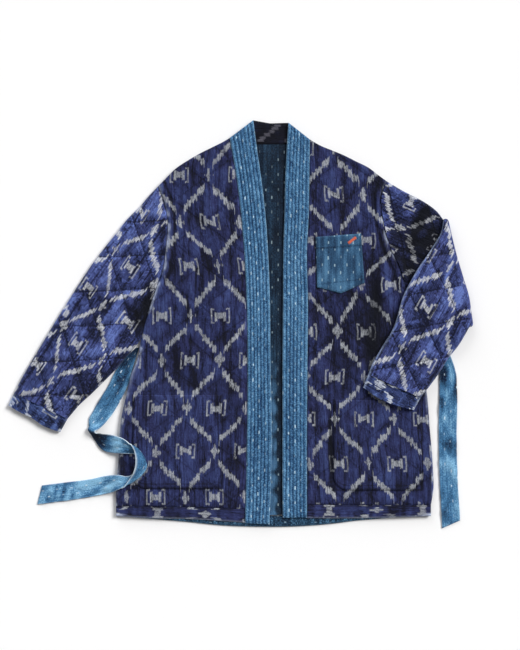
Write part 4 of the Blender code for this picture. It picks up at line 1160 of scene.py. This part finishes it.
def collar_back():
    """The back of the collar at the neck, its inner side up."""
    plan = Plan(patch(*four_sides(COLLAR_BACK_LOW, COLLAR_BACK_HIGH), spaced(COLLAR_BACK_SPAN),
                      np.linspace(0.0, 1.0, 20), straight=True))
    wrinkle = noise(80, plan.x / 9, plan.y / 26)
    top = WALL / 2 + (WALL / 2 - 0.2 + 0.15 * wrinkle) * edge_rise(plan.nearest * 2)
    weave = stacked(plan.y - WEAVE_NECK[1], plan.x - WEAVE_NECK[0])
    return closed_sheet("collar_back", plan, top, 0.0, weave, faded_and_shaded(wrinkle), 0.0, KASURI_INSIDE_SHADED)


def band_points(table, shares, up):
    """Plan points on a collar band: an array [up, share across, 2]."""
    outer, inner = (curve(edge, up)[:, None, :] for edge in np.hsplit(np.array(table, float), 2))
    shares = shares[None, :, None]
    return outer * (1 - shares) + inner * shares


def band(node, table, seed):
    """A side of the collar: ribs between lines of stitches, each puckered by them."""
    long = length(np.array(table)[:, :2])
    up = np.linspace(0.0, 1.0, round(long / STEP))
    shares = np.concatenate([[0.0, 0.012], np.linspace(0.02, 0.98, 12 * RIBS + 1), [0.988, 1.0]])
    plan = Plan(band_points(table, shares, up))
    share, along = np.meshgrid(shares, up * long)
    sway = 0.10 * noise(seed, share * RIBS / 2, along / 45)
    phase = share * RIBS + sway * smooth(share * 12) * smooth((1 - share) * 12)
    rib = np.abs(np.sin(np.pi * np.clip(phase, 0.0, RIBS)))
    number = np.floor(np.clip(phase, 0.0, RIBS - TINY))
    tuck = (noise(seed + 1, number * 3.7 + 0.5, along / 3.4)
            + 0.6 * noise(seed + 2, number * 5.1 + 0.5, along / 7.0))
    height = rib ** 0.8 * (1.0 + 0.35 * tuck) + 0.25 * tuck * (1 - rib)
    low = np.where((share == 0.0) | (share == 1.0), 0.5, 0.93)
    ends = 0.6 + 0.4 * smooth(np.minimum(along, long - along) / 4.0)
    top = FRONT_UNDER + (BAND_WALL * (low + 0.07 * rib) + RIB * height) * ends
    # Painted light on the ribs' tops and painted shade in the grooves and tucks, with uneven dye
    fade = np.clip(0.14 + 0.42 * rib ** 0.7 + 0.2 * tuck + 0.14 * noise(seed + 3, number, along / 60), 0, 1)
    wear = bell(np.minimum(share, 1 - share), 0.03) * (0.65 + 0.35 * noise(seed + 4, share * 3, along / 5))
    weave = stacked(share * BAND_WIDTH, along)
    return closed_sheet(node, plan, top, FRONT_UNDER, weave, fade, wear, COLLAR)


def pocket_foot(corners, inset=0.0):
    """A hip pocket's lower edge with its round corners, from left to right, or a line inside it."""
    x0, x1, y0, _ = corners
    turn = np.radians(np.arange(180, 271, 10))
    reach = HIP_POCKET_CORNER - inset
    away = HIP_POCKET_CORNER + reach * np.cos(turn)
    height = y0 + HIP_POCKET_CORNER + reach * np.sin(turn)
    return np.concatenate([stacked(x0 + away, height), stacked(x1 - away, height)[::-1]])


def inset_line(corners, inset):
    """A line of stitches inside a hip pocket's edge, down one side, across and up the other."""
    x0, x1, _, y1 = corners
    return np.concatenate([[(x0 + inset, y1 - 2)], pocket_foot(corners, inset), [(x1 - inset, y1 - 2)]])


def patch_pocket(node, corners, weave, seed):
    """A hip pocket: padded, its lower corners round, its cloth matched to the front."""
    x0, x1, y0, y1 = corners
    low = pocket_foot(corners)
    plan = Plan(patch(*four_sides(low, [(x0, y1), (x1, y1)]), spaced(length(low)),
                      spaced(y1 - y0 - HIP_POCKET_CORNER), straight=True))
    _, field = quilt_fields(*plan.on_body())
    crinkle = crinkles(seed, plan.x, plan.y)
    relief = POCKET_PUFF * field + 0.6 * crinkle + PUCKER * plan.puckers(seed + 6)
    rise = edge_rise(plan.nearest * 1.2)
    top = POCKET_UNDER + 0.4 + (POCKET_WALL - 0.4 + np.maximum(relief, -0.8)) * rise
    fade = faded_and_shaded(crinkle + 0.4 * (field - 0.9))
    # Painted shade along the pocket's edge and in its stitch lines
    side = np.minimum(plan.left, plan.right)
    for inset in (0.5, *POCKET_SEAMS):
        fade -= 0.5 * bell(side - inset, 1.2) + 0.3 * bell(plan.low - inset, 1.2)
    return closed_sheet(node, plan, top, POCKET_UNDER, weave(plan.x, plan.y), fade, 0.0, KASURI,
                        quilted(*plan.on_body(), 0.4))


def chest_pocket():
    """The chest pocket: plain dotted cloth with a pointed lower edge and a turned upper hem."""
    left, right = CHEST_POCKET_LEFT, CHEST_POCKET_RIGHT
    plan = Plan(patch([left[0], CHEST_POCKET_POINT, right[0]], [left[-1], right[-1]], left, right,
                      np.linspace(0.0, 1.0, 60), np.linspace(0.0, 1.0, 66), straight=True))
    x, y = plan.x, plan.y
    hem = smooth((y - 150.0 - 0.08 * (x - 150)) / 3.0) * POCKET_PUFF
    wrinkle = noise(90, x / 13, y / 40) + 0.5 * noise(91, x / 7, y / 18)
    relief = hem + 0.3 * wrinkle + 0.35 * plan.puckers(92)
    top = POCKET_UNDER + 0.5 + (POCKET_WALL - 0.5 + relief) * edge_rise(plan.nearest * 3)
    # Painted light and shade of stitched ribs, and painted shade along its seams
    rib = np.cos((x + 2.0 * noise(94, x / 30, y / 30)) * 2 * math.pi / 13.0)
    fade = faded_and_shaded(wrinkle + 0.35 * rib)
    for line in CHEST_POCKET_SEAMS:
        fade -= 0.25 * bell(distance_to_line(line, x, y), 1.6)
    wear = (0.124 + 0.076 * noise(93, plan.left / 9, plan.low / 9)) * bell(plan.nearest, EDGE_WEAR)
    weave = stacked(x - WEAVE_CHEST[0], y - WEAVE_CHEST[1])
    return closed_sheet("chest_pocket", plan, top, POCKET_UNDER, weave, fade, wear, POCKET)


def shares_across(count):
    """Fractions across a sleeve, closer together at both edges."""
    even = np.linspace(0.0, 1.0, count)
    return even - 0.4 * np.sin(2 * math.pi * even) / (2 * math.pi)


def widths(plan):
    """Width of each ring of a plan."""
    return np.linalg.norm(np.diff(plan, axis=1), axis=2).sum(axis=1)[:, None]


class Stretch:
    """A stretch of sleeve: rings of plan points with a middle plane and a direction of its face.

    plan(shares) gives an array [ring, share, 2]; middle(points) adds the height of the middle
    plane; toward is a direction or one for each ring.
    """

    def __init__(self, plan, middle, toward, reliefs, weaves, worn=(0.1, 0.1)):
        self.plan = plan
        self.middle = middle
        self.toward = np.atleast_2d(np.array(toward, float))[:, None, :]
        self.reliefs = reliefs
        self.weaves = weaves
        self.worn = worn

    def placed(self, plan, offset):
        """Points at a distance from the middle plane."""
        return self.middle(plan) + offset[..., None] * self.toward

    def outer(self, side, count):
        """Points, cloth coordinates, fading with painted light and shade, wear and quilting of the face or
        the back.
        """
        which = 0 if side > 0 else 1
        shares = shares_across(count)
        plan = self.plan(shares)
        x, y = plan[..., 0], plan[..., 1]
        from_edge = np.minimum(shares, 1.0 - shares) * widths(plan)
        relief, fade, quilt = self.reliefs[which](plan)
        points = self.placed(plan, side * (SLEEVE_HEIGHT / 2 + relief) * edge_rise(from_edge))
        wear = np.where(shares < 0.5, *self.worn) * (0.7 + 0.4 * noise(140, x / 7, y / 7))
        return points, self.weaves[which](x, y), fade, wear * bell(from_edge, SLEEVE_WEAR), quilt

    def inner(self, side, count):
        """The same of an inner face."""
        shares = shares_across(count)
        width = widths(self.plan(np.linspace(0.0, 1.0, 12)))
        cuts = (WALL + SLIT) / width[:, 0]
        plan = np.array([self.plan(cut + shares * (1.0 - 2.0 * cut))[row] for row, cut in enumerate(cuts)])
        offset = side * SLIT / 2 * edge_rise(np.minimum(shares, 1.0 - shares) * width)
        none = 0.0 * offset
        return self.placed(plan, offset), plan, none + 0.4, none, quilted(offset, offset, 0.0)


def joined(parts):
    """Rings of several stretches as one array for each of their values."""
    return [np.concatenate(values) for values in zip(*parts)]


def zipped(first, second):
    """Triangles between two rows of point numbers that run the same way."""
    near, far = (np.linspace(0.0, 1.0, len(row)) for row in (first, second))
    first, second = first.tolist(), second.tolist()
    faces = []
    i = j = 0
    while i < len(first) - 1 or j < len(second) - 1:
        if j == len(second) - 1 or (i < len(first) - 1 and near[i + 1] <= far[j + 1]):
            faces.append((first[i], first[i + 1], second[j]))
            i += 1
        else:
            faces.append((first[i], second[j + 1], second[j]))
            j += 1
    return faces


def tube(node, stretches, counts, finish):
    """A flattened tube of outer cloth and lining, open inside."""
    cloth = Cloth()
    layers = []
    for read, (face_count, back_count) in ((Stretch.outer, counts), (Stretch.inner, INNER_POINTS)):
        face = cloth.add_points(*joined([read(part, 1.0, face_count) for part in stretches]))
        values = joined([read(part, -1.0, back_count) for part in stretches])
        middle = cloth.add_points(*[value[:, 1:-1] for value in values])
        behind = np.concatenate([face[:, :1], middle, face[:, -1:]], axis=1)
        for grid in (face, behind):
            cloth.add_grid(grid, len(layers))
        layers.append((face, behind))
    for ring in (0, -1):
        for outer, inner in zip(*layers):
            cloth.add_faces(zipped(outer[ring], inner[ring]))
    return cloth.finish(node + "_cloth", [finish, LINING])


def slab(sides, *looks):
    """A stretch of sleeve that lies flat, from the plan's four sides."""
    span = max(length(sides[2]), length(sides[3]))
    up = np.linspace(0.0, 1.0, max(2, round(span / STEP)))
    return Stretch(lambda shares: patch(*sides, shares, up), *looks)


def on_surface(plan):
    """Middle plane of a sleeve that lies on the surface."""
    return np.dstack([plan, np.full(plan.shape[:2], SLEEVE_HEIGHT / 2)])


def level(plan):
    """No relief, and even dye."""
    zeros = np.zeros(plan.shape[:2])
    return zeros, zeros + 0.5, quilted(zeros, zeros, 0.0)


def raised(origin, grain, creases, shade_marks, seed, folded=True):
    """Relief, fading with painted light and shade, and quilting of a sleeve's outer cloth."""
    def relief(plan):
        x, y = plan[..., 0], plan[..., 1]
        across, along = along_grain(x, y, origin, grain)
        to_line, field = quilt_fields(across, along)
        crinkle = crinkles(seed, across, along)
        drawn = puckers(seed + 5, to_line, across - along, 5.0, 13.0)
        folds = creased(creases, x, y)
        padding = lumps(seed + 7, across / 13, along / 15)
        cells = facet_shading(seed + 11, across, along)
        height = (SLEEVE_PUFF * field + (CRINKLE * crinkle + LUMP * padding) * (0.4 + 0.6 * field)
                  + 1.3 * PUCKER * drawn + folds)
        # Dye faded on what stands proud, with painted light and shade from crinkles, folds, fields,
        # puckers, lumps and quilted cells
        fade = faded_and_shaded(0.6 * crinkle + 0.45 * folds + 0.8 * (field - 0.85) + 0.5 * drawn
                     + 0.4 * (padding - 0.6) + 0.55 * cells)
        if folded:
            height = height * (0.25 + 0.75 * from_fold(plan))
        # Painted shade from the table, painted light where it is negative
        return np.maximum(height, -3.2), fade - creased(shade_marks, x, y), quilted(across, along, 1.0)
    return relief


def from_fold(plan):
    """How far into the cloth points lie from the fold of the left sleeve, from 0 to 1."""
    return smooth(distance_to_line(FOLD, plan[..., 0], plan[..., 1]) / FOLD_REACH)


def forearm_middle(plan):
    """Middle plane of the forearm, which lies on the front, the pocket, the upper arm and the tie."""
    body = BODY_EDGE_LEFT + [(138, 370), (132, -362)]
    upper_arm = ARMHOLE_LEFT[::-1] + UPPER_ARM_LOW + FOLD[::-1] + UPPER_ARM_TOP[::-1]
    pocket_top = POCKET_UNDER + POCKET_WALL + POCKET_PUFF
    supports = ((body, FRONT_TOP), (upper_arm, FRONT_TOP), (rectangle(HIP_POCKET_LEFT), pocket_top))
    rest = np.full(plan.shape[:2], TIE_WALL + 0.2 + GAP)
    for outline, height in supports:
        away = distance_outside(outline, plan[..., 0], plan[..., 1])
        rest = np.maximum(rest, height - DRAPE_SLOPE * away)
    near = from_fold(plan)
    under = (SLEEVE_HEIGHT + SLIT) * (1.0 - near) + (rest + FOREARM_REST) * near
    return np.dstack([plan, under + SLEEVE_HEIGHT / 2])


def sleeve_right():
    """The right sleeve, out beside the body."""
    armhole = shifted(ARMHOLE_RIGHT[::-1], (-SEAM, 0.0))
    sides = four_sides(armhole, CUFF_RIGHT_SEAM, SLEEVE_RIGHT_TOP[1:-1], SLEEVE_RIGHT_LOW[1:-1])
    relief = raised(ARMHOLE_RIGHT[-1], SLEEVE_RIGHT_GRAIN, CREASES_SLEEVE_RIGHT, PAINTED_SHADE_SLEEVE_RIGHT, 30,
                    folded=False)
    stretch = slab(sides, on_surface, UP, (relief, level), (weave_sleeve_right, weave_sleeve_right))
    return tube("sleeve_right", [stretch], (118, UNDER_POINTS), KASURI_SLEEVE_LIT)


def sleeve_left():
    """The left sleeve: upper arm on the surface, the fold, and the forearm back over the front."""
    outward = np.array([*FOLD_OUTWARD, 0.0])
    turn = SLEEVE_HEIGHT + SLIT / 2
    bend = (SLEEVE_HEIGHT + SLIT) / 2
    fold = shifted(FOLD, -turn * outward)
    armhole = shifted(ARMHOLE_LEFT[::-1], (SEAM, 0.0))
    upper_relief = raised(ARMHOLE_LEFT[-1], UPPER_ARM_GRAIN, CREASES_UPPER_ARM, PAINTED_SHADE_UPPER_ARM, 40)
    forearm_relief = raised(FOLD[0], FOREARM_GRAIN, CREASES_FOREARM, PAINTED_SHADE_FOREARM, 50)
    weaves = (weave_upper_arm, weave_forearm)
    angles = np.radians(np.arange(12, 180, 12))[:, None]
    moves = bend * np.sin(angles) * outward
    heights = turn - bend * np.cos(angles)
    toward = np.cos(angles) * UP - np.sin(angles) * outward

    def fold_plan(shares):
        return np.repeat(curve(fold, shares)[None, :, :], len(angles), axis=0)

    def fold_middle(plan):
        return np.dstack([plan, np.repeat(heights, plan.shape[1], axis=1)]) + moves[:, None, :]

    def unfolded(x, y):
        reach = turn * (math.pi - angles)
        return x + reach * outward[0], y + reach * outward[1]

    def fold_weave(x, y):
        return weave_forearm(*unfolded(x, y))

    def fold_relief(plan):
        zeros = np.zeros(plan.shape[:2])
        places = unfolded(plan[..., 0], plan[..., 1])
        return zeros, zeros + 0.4, quilted(*along_grain(*places, FOLD[0], FOREARM_GRAIN), 1.0)
    upper = slab(four_sides(armhole, fold, UPPER_ARM_TOP[1:], UPPER_ARM_LOW[1:]), on_surface, UP,
                 (upper_relief, level), weaves)
    around = Stretch(fold_plan, fold_middle, toward, (fold_relief, level), (fold_weave, fold_weave), (0, 0))
    forearm = slab(four_sides(fold, CUFF_LEFT_SEAM, FOREARM_INNER[:-1], FOREARM_OUTER[:-1]), forearm_middle,
                   -UP, (level, forearm_relief), weaves, (0.75, 0.25))
    return tube("sleeve_left", [upper, around, forearm], (110, 118), KASURI_SLEEVE_LIT)


def cuff(node, seam, end, grain, middle, toward, weave, shade_marks, seed):
    """A cuff: a short tube beyond the sleeve's end, its cloth turned a quarter."""
    start = shifted(seam, (SEAM * grain[0], SEAM * grain[1]))

    def relief(plan):
        x, y = plan[..., 0], plan[..., 1]
        across, along = along_grain(x, y, start[0], grain)
        wrinkle = noise(seed, across / 8, along / 16) + 0.5 * noise(seed + 1, across / 15, along / 9)
        # Painted light and shade of the wrinkles, and painted shade from the table
        return 0.7 * wrinkle, faded_and_shaded(0.9 * wrinkle) - creased(shade_marks, x, y), quilted(across, along, 0.0)
    stretch = slab(four_sides(start, end), middle, toward, (relief, relief), (turned(weave), turned(weave)),
                   (0.7, 0.4))
    return tube(node, [stretch], (60, 60), KASURI_CUFF)


def tie(node, table, tie_shading, seed):
    """A tie: a thin doubled ribbon with soft creases."""
    rows = np.array(table, float).reshape(len(table), 9)
    long = length(rows[:, 3:6])
    up = np.linspace(0.0, 1.0, round(long / 3.2))
    near, middle, far = (part[:, None, :] for part in np.hsplit(curve(rows, up), 3))
    shares = np.concatenate([[0.0, 0.03], np.linspace(0.07, 0.93, 16), [0.97, 1.0]])
    across, along = np.meshgrid(shares * TIE_WIDTH, up * long)
    share = shares[:, None]
    grid = (near * (2 * share - 1) * (share - 1) + middle * 4 * share * (1 - share)
            + far * share * (2 * share - 1))
    wrinkle = (noise(seed, (across + 0.5 * along) / 15, along / 34)
               + 0.6 * noise(seed + 1, (across - 0.4 * along) / 9, along / 19))
    normal = np.cross(np.gradient(grid, axis=1), np.gradient(grid, axis=0))
    normal /= np.linalg.norm(normal, axis=-1, keepdims=True) + TINY
    lift = np.abs(wrinkle) * 2.2 * smooth(along / 30) * smooth((long - along) / 10)
    grid += normal * np.where(normal[..., 2:] < 0.0, -1.0, 1.0) * lift[..., None]
    # Painted light and shade of the wrinkles, and the table's painted shade and highlights
    fade = np.clip(0.57 + 0.3 * wrinkle + 0.75 * toned(tie_shading, along, across), -0.9, 1.0)
    # Worn rims, and a painted highlight on them that grows brighter where the ribbon stands high
    rim = bell(np.minimum(across, TIE_WIDTH - across), 1.1)
    wear = rim * (0.15 + 0.85 * smooth((grid[..., 2] - 8.0) / 8.0))
    cloth = Cloth()
    cloth.add_grid(cloth.add_points(grid, stacked(across, along), fade, wear))
    piece = cloth.finish(node + "_cloth", [TIE_CLOTH])
    thicken = piece.modifiers.new("thickness", "SOLIDIFY")
    thicken.thickness = TIE_WALL * MM
    thicken.offset = 0.0
    return piece


def stitches(target, lines, finish=NAVY_THREAD, width=THREAD_WIDTH, stitch=STITCH, gap=STITCH_GAP,
             name=None):
    """Stitches along plan lines, laid on a piece: each is a short thread that dips in at both ends."""
    corners = [point.co for point in target.data.vertices]
    tree = BVHTree.FromPolygons(corners, [face.vertices for face in target.data.polygons])
    above = Vector((0.0, 0.0, width / 2))
    points, faces = [], []
    for line in lines:
        steps = distances_along(line)
        for start in np.arange(0.0, steps[-1] - stitch, stitch + gap):
            places = (start, start + stitch / 2, start + stitch)
            spots = []
            for x, y in zip(*[np.interp(places, steps, column) * MM for column in np.transpose(line)]):
                hit = tree.ray_cast(Vector((x, y, 1.0)), Vector((0.0, 0.0, -1.0)))[0]
                if hit is not None:
                    spots.append(hit / MM)
            if len(spots) < 3:
                continue
            first, middle, last = spots
            aside = (last - first).cross(above).normalized() * (width / 2)
            middle = middle + above * 0.4
            number = len(points)
            points += [first - above * 0.6, middle + aside, middle + above, middle - aside, middle - above,
                       last - above * 0.6]
            for corner in range(4):
                here, after = number + 1 + corner, number + 1 + (corner + 1) % 4
                faces += [(number, after, here), (number + 5, here, after)]
    cloth = Cloth()
    points = np.array(points)
    cloth.add_points(points, points[:, :2])
    cloth.add_faces(faces)
    return cloth.finish(name or target.name.replace("cloth", "stitches"), [finish], angle=80.0)


def quilt_lines(outline, origin, grain=(0.0, 1.0), leave_out=()):
    """Quilting lines within an outline, as plan lines, but for places that other pieces cover."""
    start, forward = np.array(origin, float), np.array(grain, float)
    sideways = np.array([-grain[1], grain[0]])
    reach = float(np.max(np.linalg.norm(outline - start, axis=1))) + QUILT_STEP
    slant = math.pi / 2 - QUILT_SLANT
    lines = []
    for angle, step in ((slant, QUILT_STEP), (-slant, QUILT_STEP), (0.0, QUILT_GRAIN_STEP)):
        run = forward * math.cos(angle) + sideways * math.sin(angle)
        off = sideways * math.cos(angle) - forward * math.sin(angle)
        count = int(reach / step)
        for number in range(-count, count + 1):
            places = start + off * number * step + run * np.arange(-reach, reach, 3.0)[:, None]
            kept = inside(outline, *places.T)
            for cover in leave_out:
                kept &= ~inside(cover, *places.T)
            for group in np.split(np.arange(len(kept)), np.flatnonzero(np.diff(kept)) + 1):
                if kept[group[0]] and len(group) > 3:
                    lines.append(places[group])
    return lines


def show(piece, *sewn):
    """Ties a piece of cloth to the frame with what is sewn on it, and hides the solid it replaces."""
    node = piece.name.removesuffix("_cloth")
    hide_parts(node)
    for part in (piece, *sewn):
        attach(part, "root")


def build_body():
    """Back, fronts, hems and their quilting."""
    show(back())
    inner_right = shifted([HEM_SEAM_RIGHT[-1]] + [row[:2] for row in BAND_RIGHT[1:]], (-SEAM, 0.0))
    inner_left = shifted([HEM_SEAM_LEFT[0]] + [row[:2] for row in BAND_LEFT[1:]], (SEAM, 0.0))
    low_right = HEM_SEAM_RIGHT[:-1] + [inner_right[0]]
    low_left = [inner_left[0]] + HEM_SEAM_LEFT[1:]
    high_right = SHOULDER_RIGHT[:-1] + [inner_right[-1]]
    high_left = [inner_left[-1]] + SHOULDER_LEFT[1:]
    chest = CHEST_POCKET_LEFT + CHEST_POCKET_RIGHT[::-1] + [CHEST_POCKET_POINT]
    pockets_right = [rectangle(HIP_POCKET_RIGHT)]
    pockets_left = [rectangle(HIP_POCKET_LEFT), chest]
    right = front("front_right", (low_right, high_right, BODY_EDGE_RIGHT, inner_right), pockets_right,
                  (CREASES_RIGHT_FRONT, PAINTED_SHADE_RIGHT_FRONT, BODY_EDGE_RIGHT, WORN_RIGHT), 10)
    left = front("front_left", (low_left, high_left, inner_left, BODY_EDGE_LEFT), pockets_left,
                 (CREASES_LEFT_FRONT, PAINTED_SHADE_LEFT_FRONT, BODY_EDGE_LEFT, WORN_LEFT), 20)
    outline_right = BODY_EDGE_RIGHT + SHOULDER_RIGHT[1:] + inner_right[::-1]
    outline_left = BODY_EDGE_LEFT + SHOULDER_LEFT[::-1][1:] + inner_left[::-1]
    sewn_right = stitches(right, quilt_lines(outline_right, QUILT_ORIGIN, leave_out=pockets_right))
    sewn_left = stitches(left, quilt_lines(outline_left, QUILT_ORIGIN, leave_out=pockets_left))
    show(right, sewn_right)
    show(left, sewn_left)
    for side, edge, low, seed in (
            ("right", HEM_EDGE_RIGHT, low_right, 60), ("left", HEM_EDGE_LEFT, low_left, 64)):
        seam = shifted(low, (0.0, -SEAM))
        edge = [(seam[0][0], edge[0][1]), *edge[1:-1], (seam[-1][0], edge[-1][1])]
        weave = turned(WEAVES[side], HEM_SHIFT)
        hem = strip("hem_front_" + side, edge, seam, FRONT_UNDER, weave, seed, KASURI)
        show(hem, stitches(hem, [sampled(shifted(seam, (0.0, -2.5)))]))
    show(strip("hem_back", BACK_HEM_EDGE, BACK_HEM_SEAM, 0.0, lambda x, y: stacked(y, x), 66, HEM_LINING,
               puff=1.0, wave=4.4))


def build_collar():
    """The two ribbed bands and the back of the collar."""
    shares = np.clip(np.arange(RIBS + 1) / RIBS, 0.035, 0.965)
    for node, table, seed in (("collar_right", BAND_RIGHT, 100), ("collar_left", BAND_LEFT, 110)):
        piece = band(node, table, seed)
        lines = np.moveaxis(band_points(table, shares, np.linspace(0.004, 0.996, 300)), 1, 0)
        show(piece, stitches(piece, lines, BLUE_THREAD, width=0.6, stitch=3.0, gap=1.6))
    show(collar_back())


def build_sleeves():
    """Both sleeves with their cuffs and quilting."""
    piece = sleeve_right()
    outline = ARMHOLE_RIGHT + SLEEVE_RIGHT_TOP[1:] + SLEEVE_RIGHT_LOW[::-1][:-1]
    lines = quilt_lines(outline, ARMHOLE_RIGHT[-1], SLEEVE_RIGHT_GRAIN)
    show(piece, stitches(piece, lines))
    show(cuff("cuff_right", CUFF_RIGHT_SEAM, CUFF_RIGHT_END, SLEEVE_RIGHT_GRAIN, on_surface, UP,
              weave_sleeve_right, PAINTED_SHADE_CUFF_RIGHT, 34))
    piece = sleeve_left()
    forearm = FOLD + FOREARM_OUTER + FOREARM_INNER[::-1]
    upper = ARMHOLE_LEFT + UPPER_ARM_TOP[1:] + FOLD + UPPER_ARM_LOW[::-1][:-1]
    lines = quilt_lines(forearm, FOLD[0], FOREARM_GRAIN)
    lines += quilt_lines(upper, ARMHOLE_LEFT[-1], UPPER_ARM_GRAIN, leave_out=[forearm])
    show(piece, stitches(piece, lines))
    show(cuff("cuff_left", CUFF_LEFT_SEAM, CUFF_LEFT_END, FOREARM_GRAIN, forearm_middle, -UP, weave_forearm,
              PAINTED_SHADE_CUFF_LEFT, 54))


def build_pockets():
    """Pockets with their seams, and a bar tack on the chest pocket."""
    for side, corners, seed in (("right", HIP_POCKET_RIGHT, 10), ("left", HIP_POCKET_LEFT, 20)):
        piece = patch_pocket("hip_pocket_" + side, corners, WEAVES[side], seed)
        lines = [inset_line(corners, inset) for inset in POCKET_SEAMS]
        lines += quilt_lines(inset_line(corners, 12.0), QUILT_ORIGIN)
        show(piece, stitches(piece, lines))
    piece = chest_pocket()
    sewn = stitches(piece, [CHEST_POCKET_STITCHES, *CHEST_POCKET_SEAMS], width=0.6)
    across = []
    for number in range(TACK_THREADS):
        x, y = (start + number * step for start, step in zip(TACK_START, TACK_STEP))
        across.append([(x - TACK_REACH[0], y + TACK_REACH[1]), (x + TACK_REACH[0], y - TACK_REACH[1])])
    tack = stitches(piece, across, CORAL_THREAD, width=1.8, stitch=10.2, gap=0.1, name="bar_tack")
    show(piece, sewn, tack)


def build_ties():
    """Both ties."""
    show(tie("tie_right", TIE_RIGHT, PAINTED_LIGHT_TIE_RIGHT, 120))
    show(tie("tie_left", TIE_LEFT, PAINTED_LIGHT_TIE_LEFT, 130))


def build_studio():
    """A white floor, soft light from above and the camera straight over the garment."""
    scene = bpy.context.scene
    mesh = bpy.data.meshes.new("floor")
    corners = rectangle((-FLOOR_HALF, FLOOR_HALF, -FLOOR_HALF, FLOOR_HALF))
    mesh.from_pydata([(x, y, FLOOR_HEIGHT) for x, y in corners], [], [(0, 1, 2, 3)])
    paper = bpy.data.materials.new("white_paper")
    paper.use_nodes = True
    surface = paper.node_tree.nodes["Principled BSDF"]
    surface.inputs["Base Color"].default_value = (0.945, 0.945, 0.955, 1.0)
    surface.inputs["Roughness"].default_value = 0.9
    mesh.materials.append(paper)
    add_object("floor", mesh)
    for name, toward, spread, power, colour in LIGHTS:
        data = bpy.data.lights.new(name, "SUN")
        data.angle = math.radians(spread)
        data.energy = power
        data.color = colour
        light = add_object(name, data, toward)
        light.rotation_euler = (-Vector(toward)).to_track_quat("-Z", "Y").to_euler()
    scene.world = bpy.data.worlds.new("studio")
    scene.world.use_nodes = True
    sky = scene.world.node_tree.nodes["Background"]
    sky.inputs["Color"].default_value = (1.0, 1.0, 1.0, 1.0)
    sky.inputs["Strength"].default_value = 0.28
    scene.view_settings.view_transform = "Standard"
    data = bpy.data.cameras.new("camera")
    data.lens = 100.0
    data.sensor_width = 36.0
    scene.camera = add_object("camera", data, CAMERA_PLACE)


build_studio()
build_body()
build_collar()
build_sleeves()
build_pockets()
build_ties()
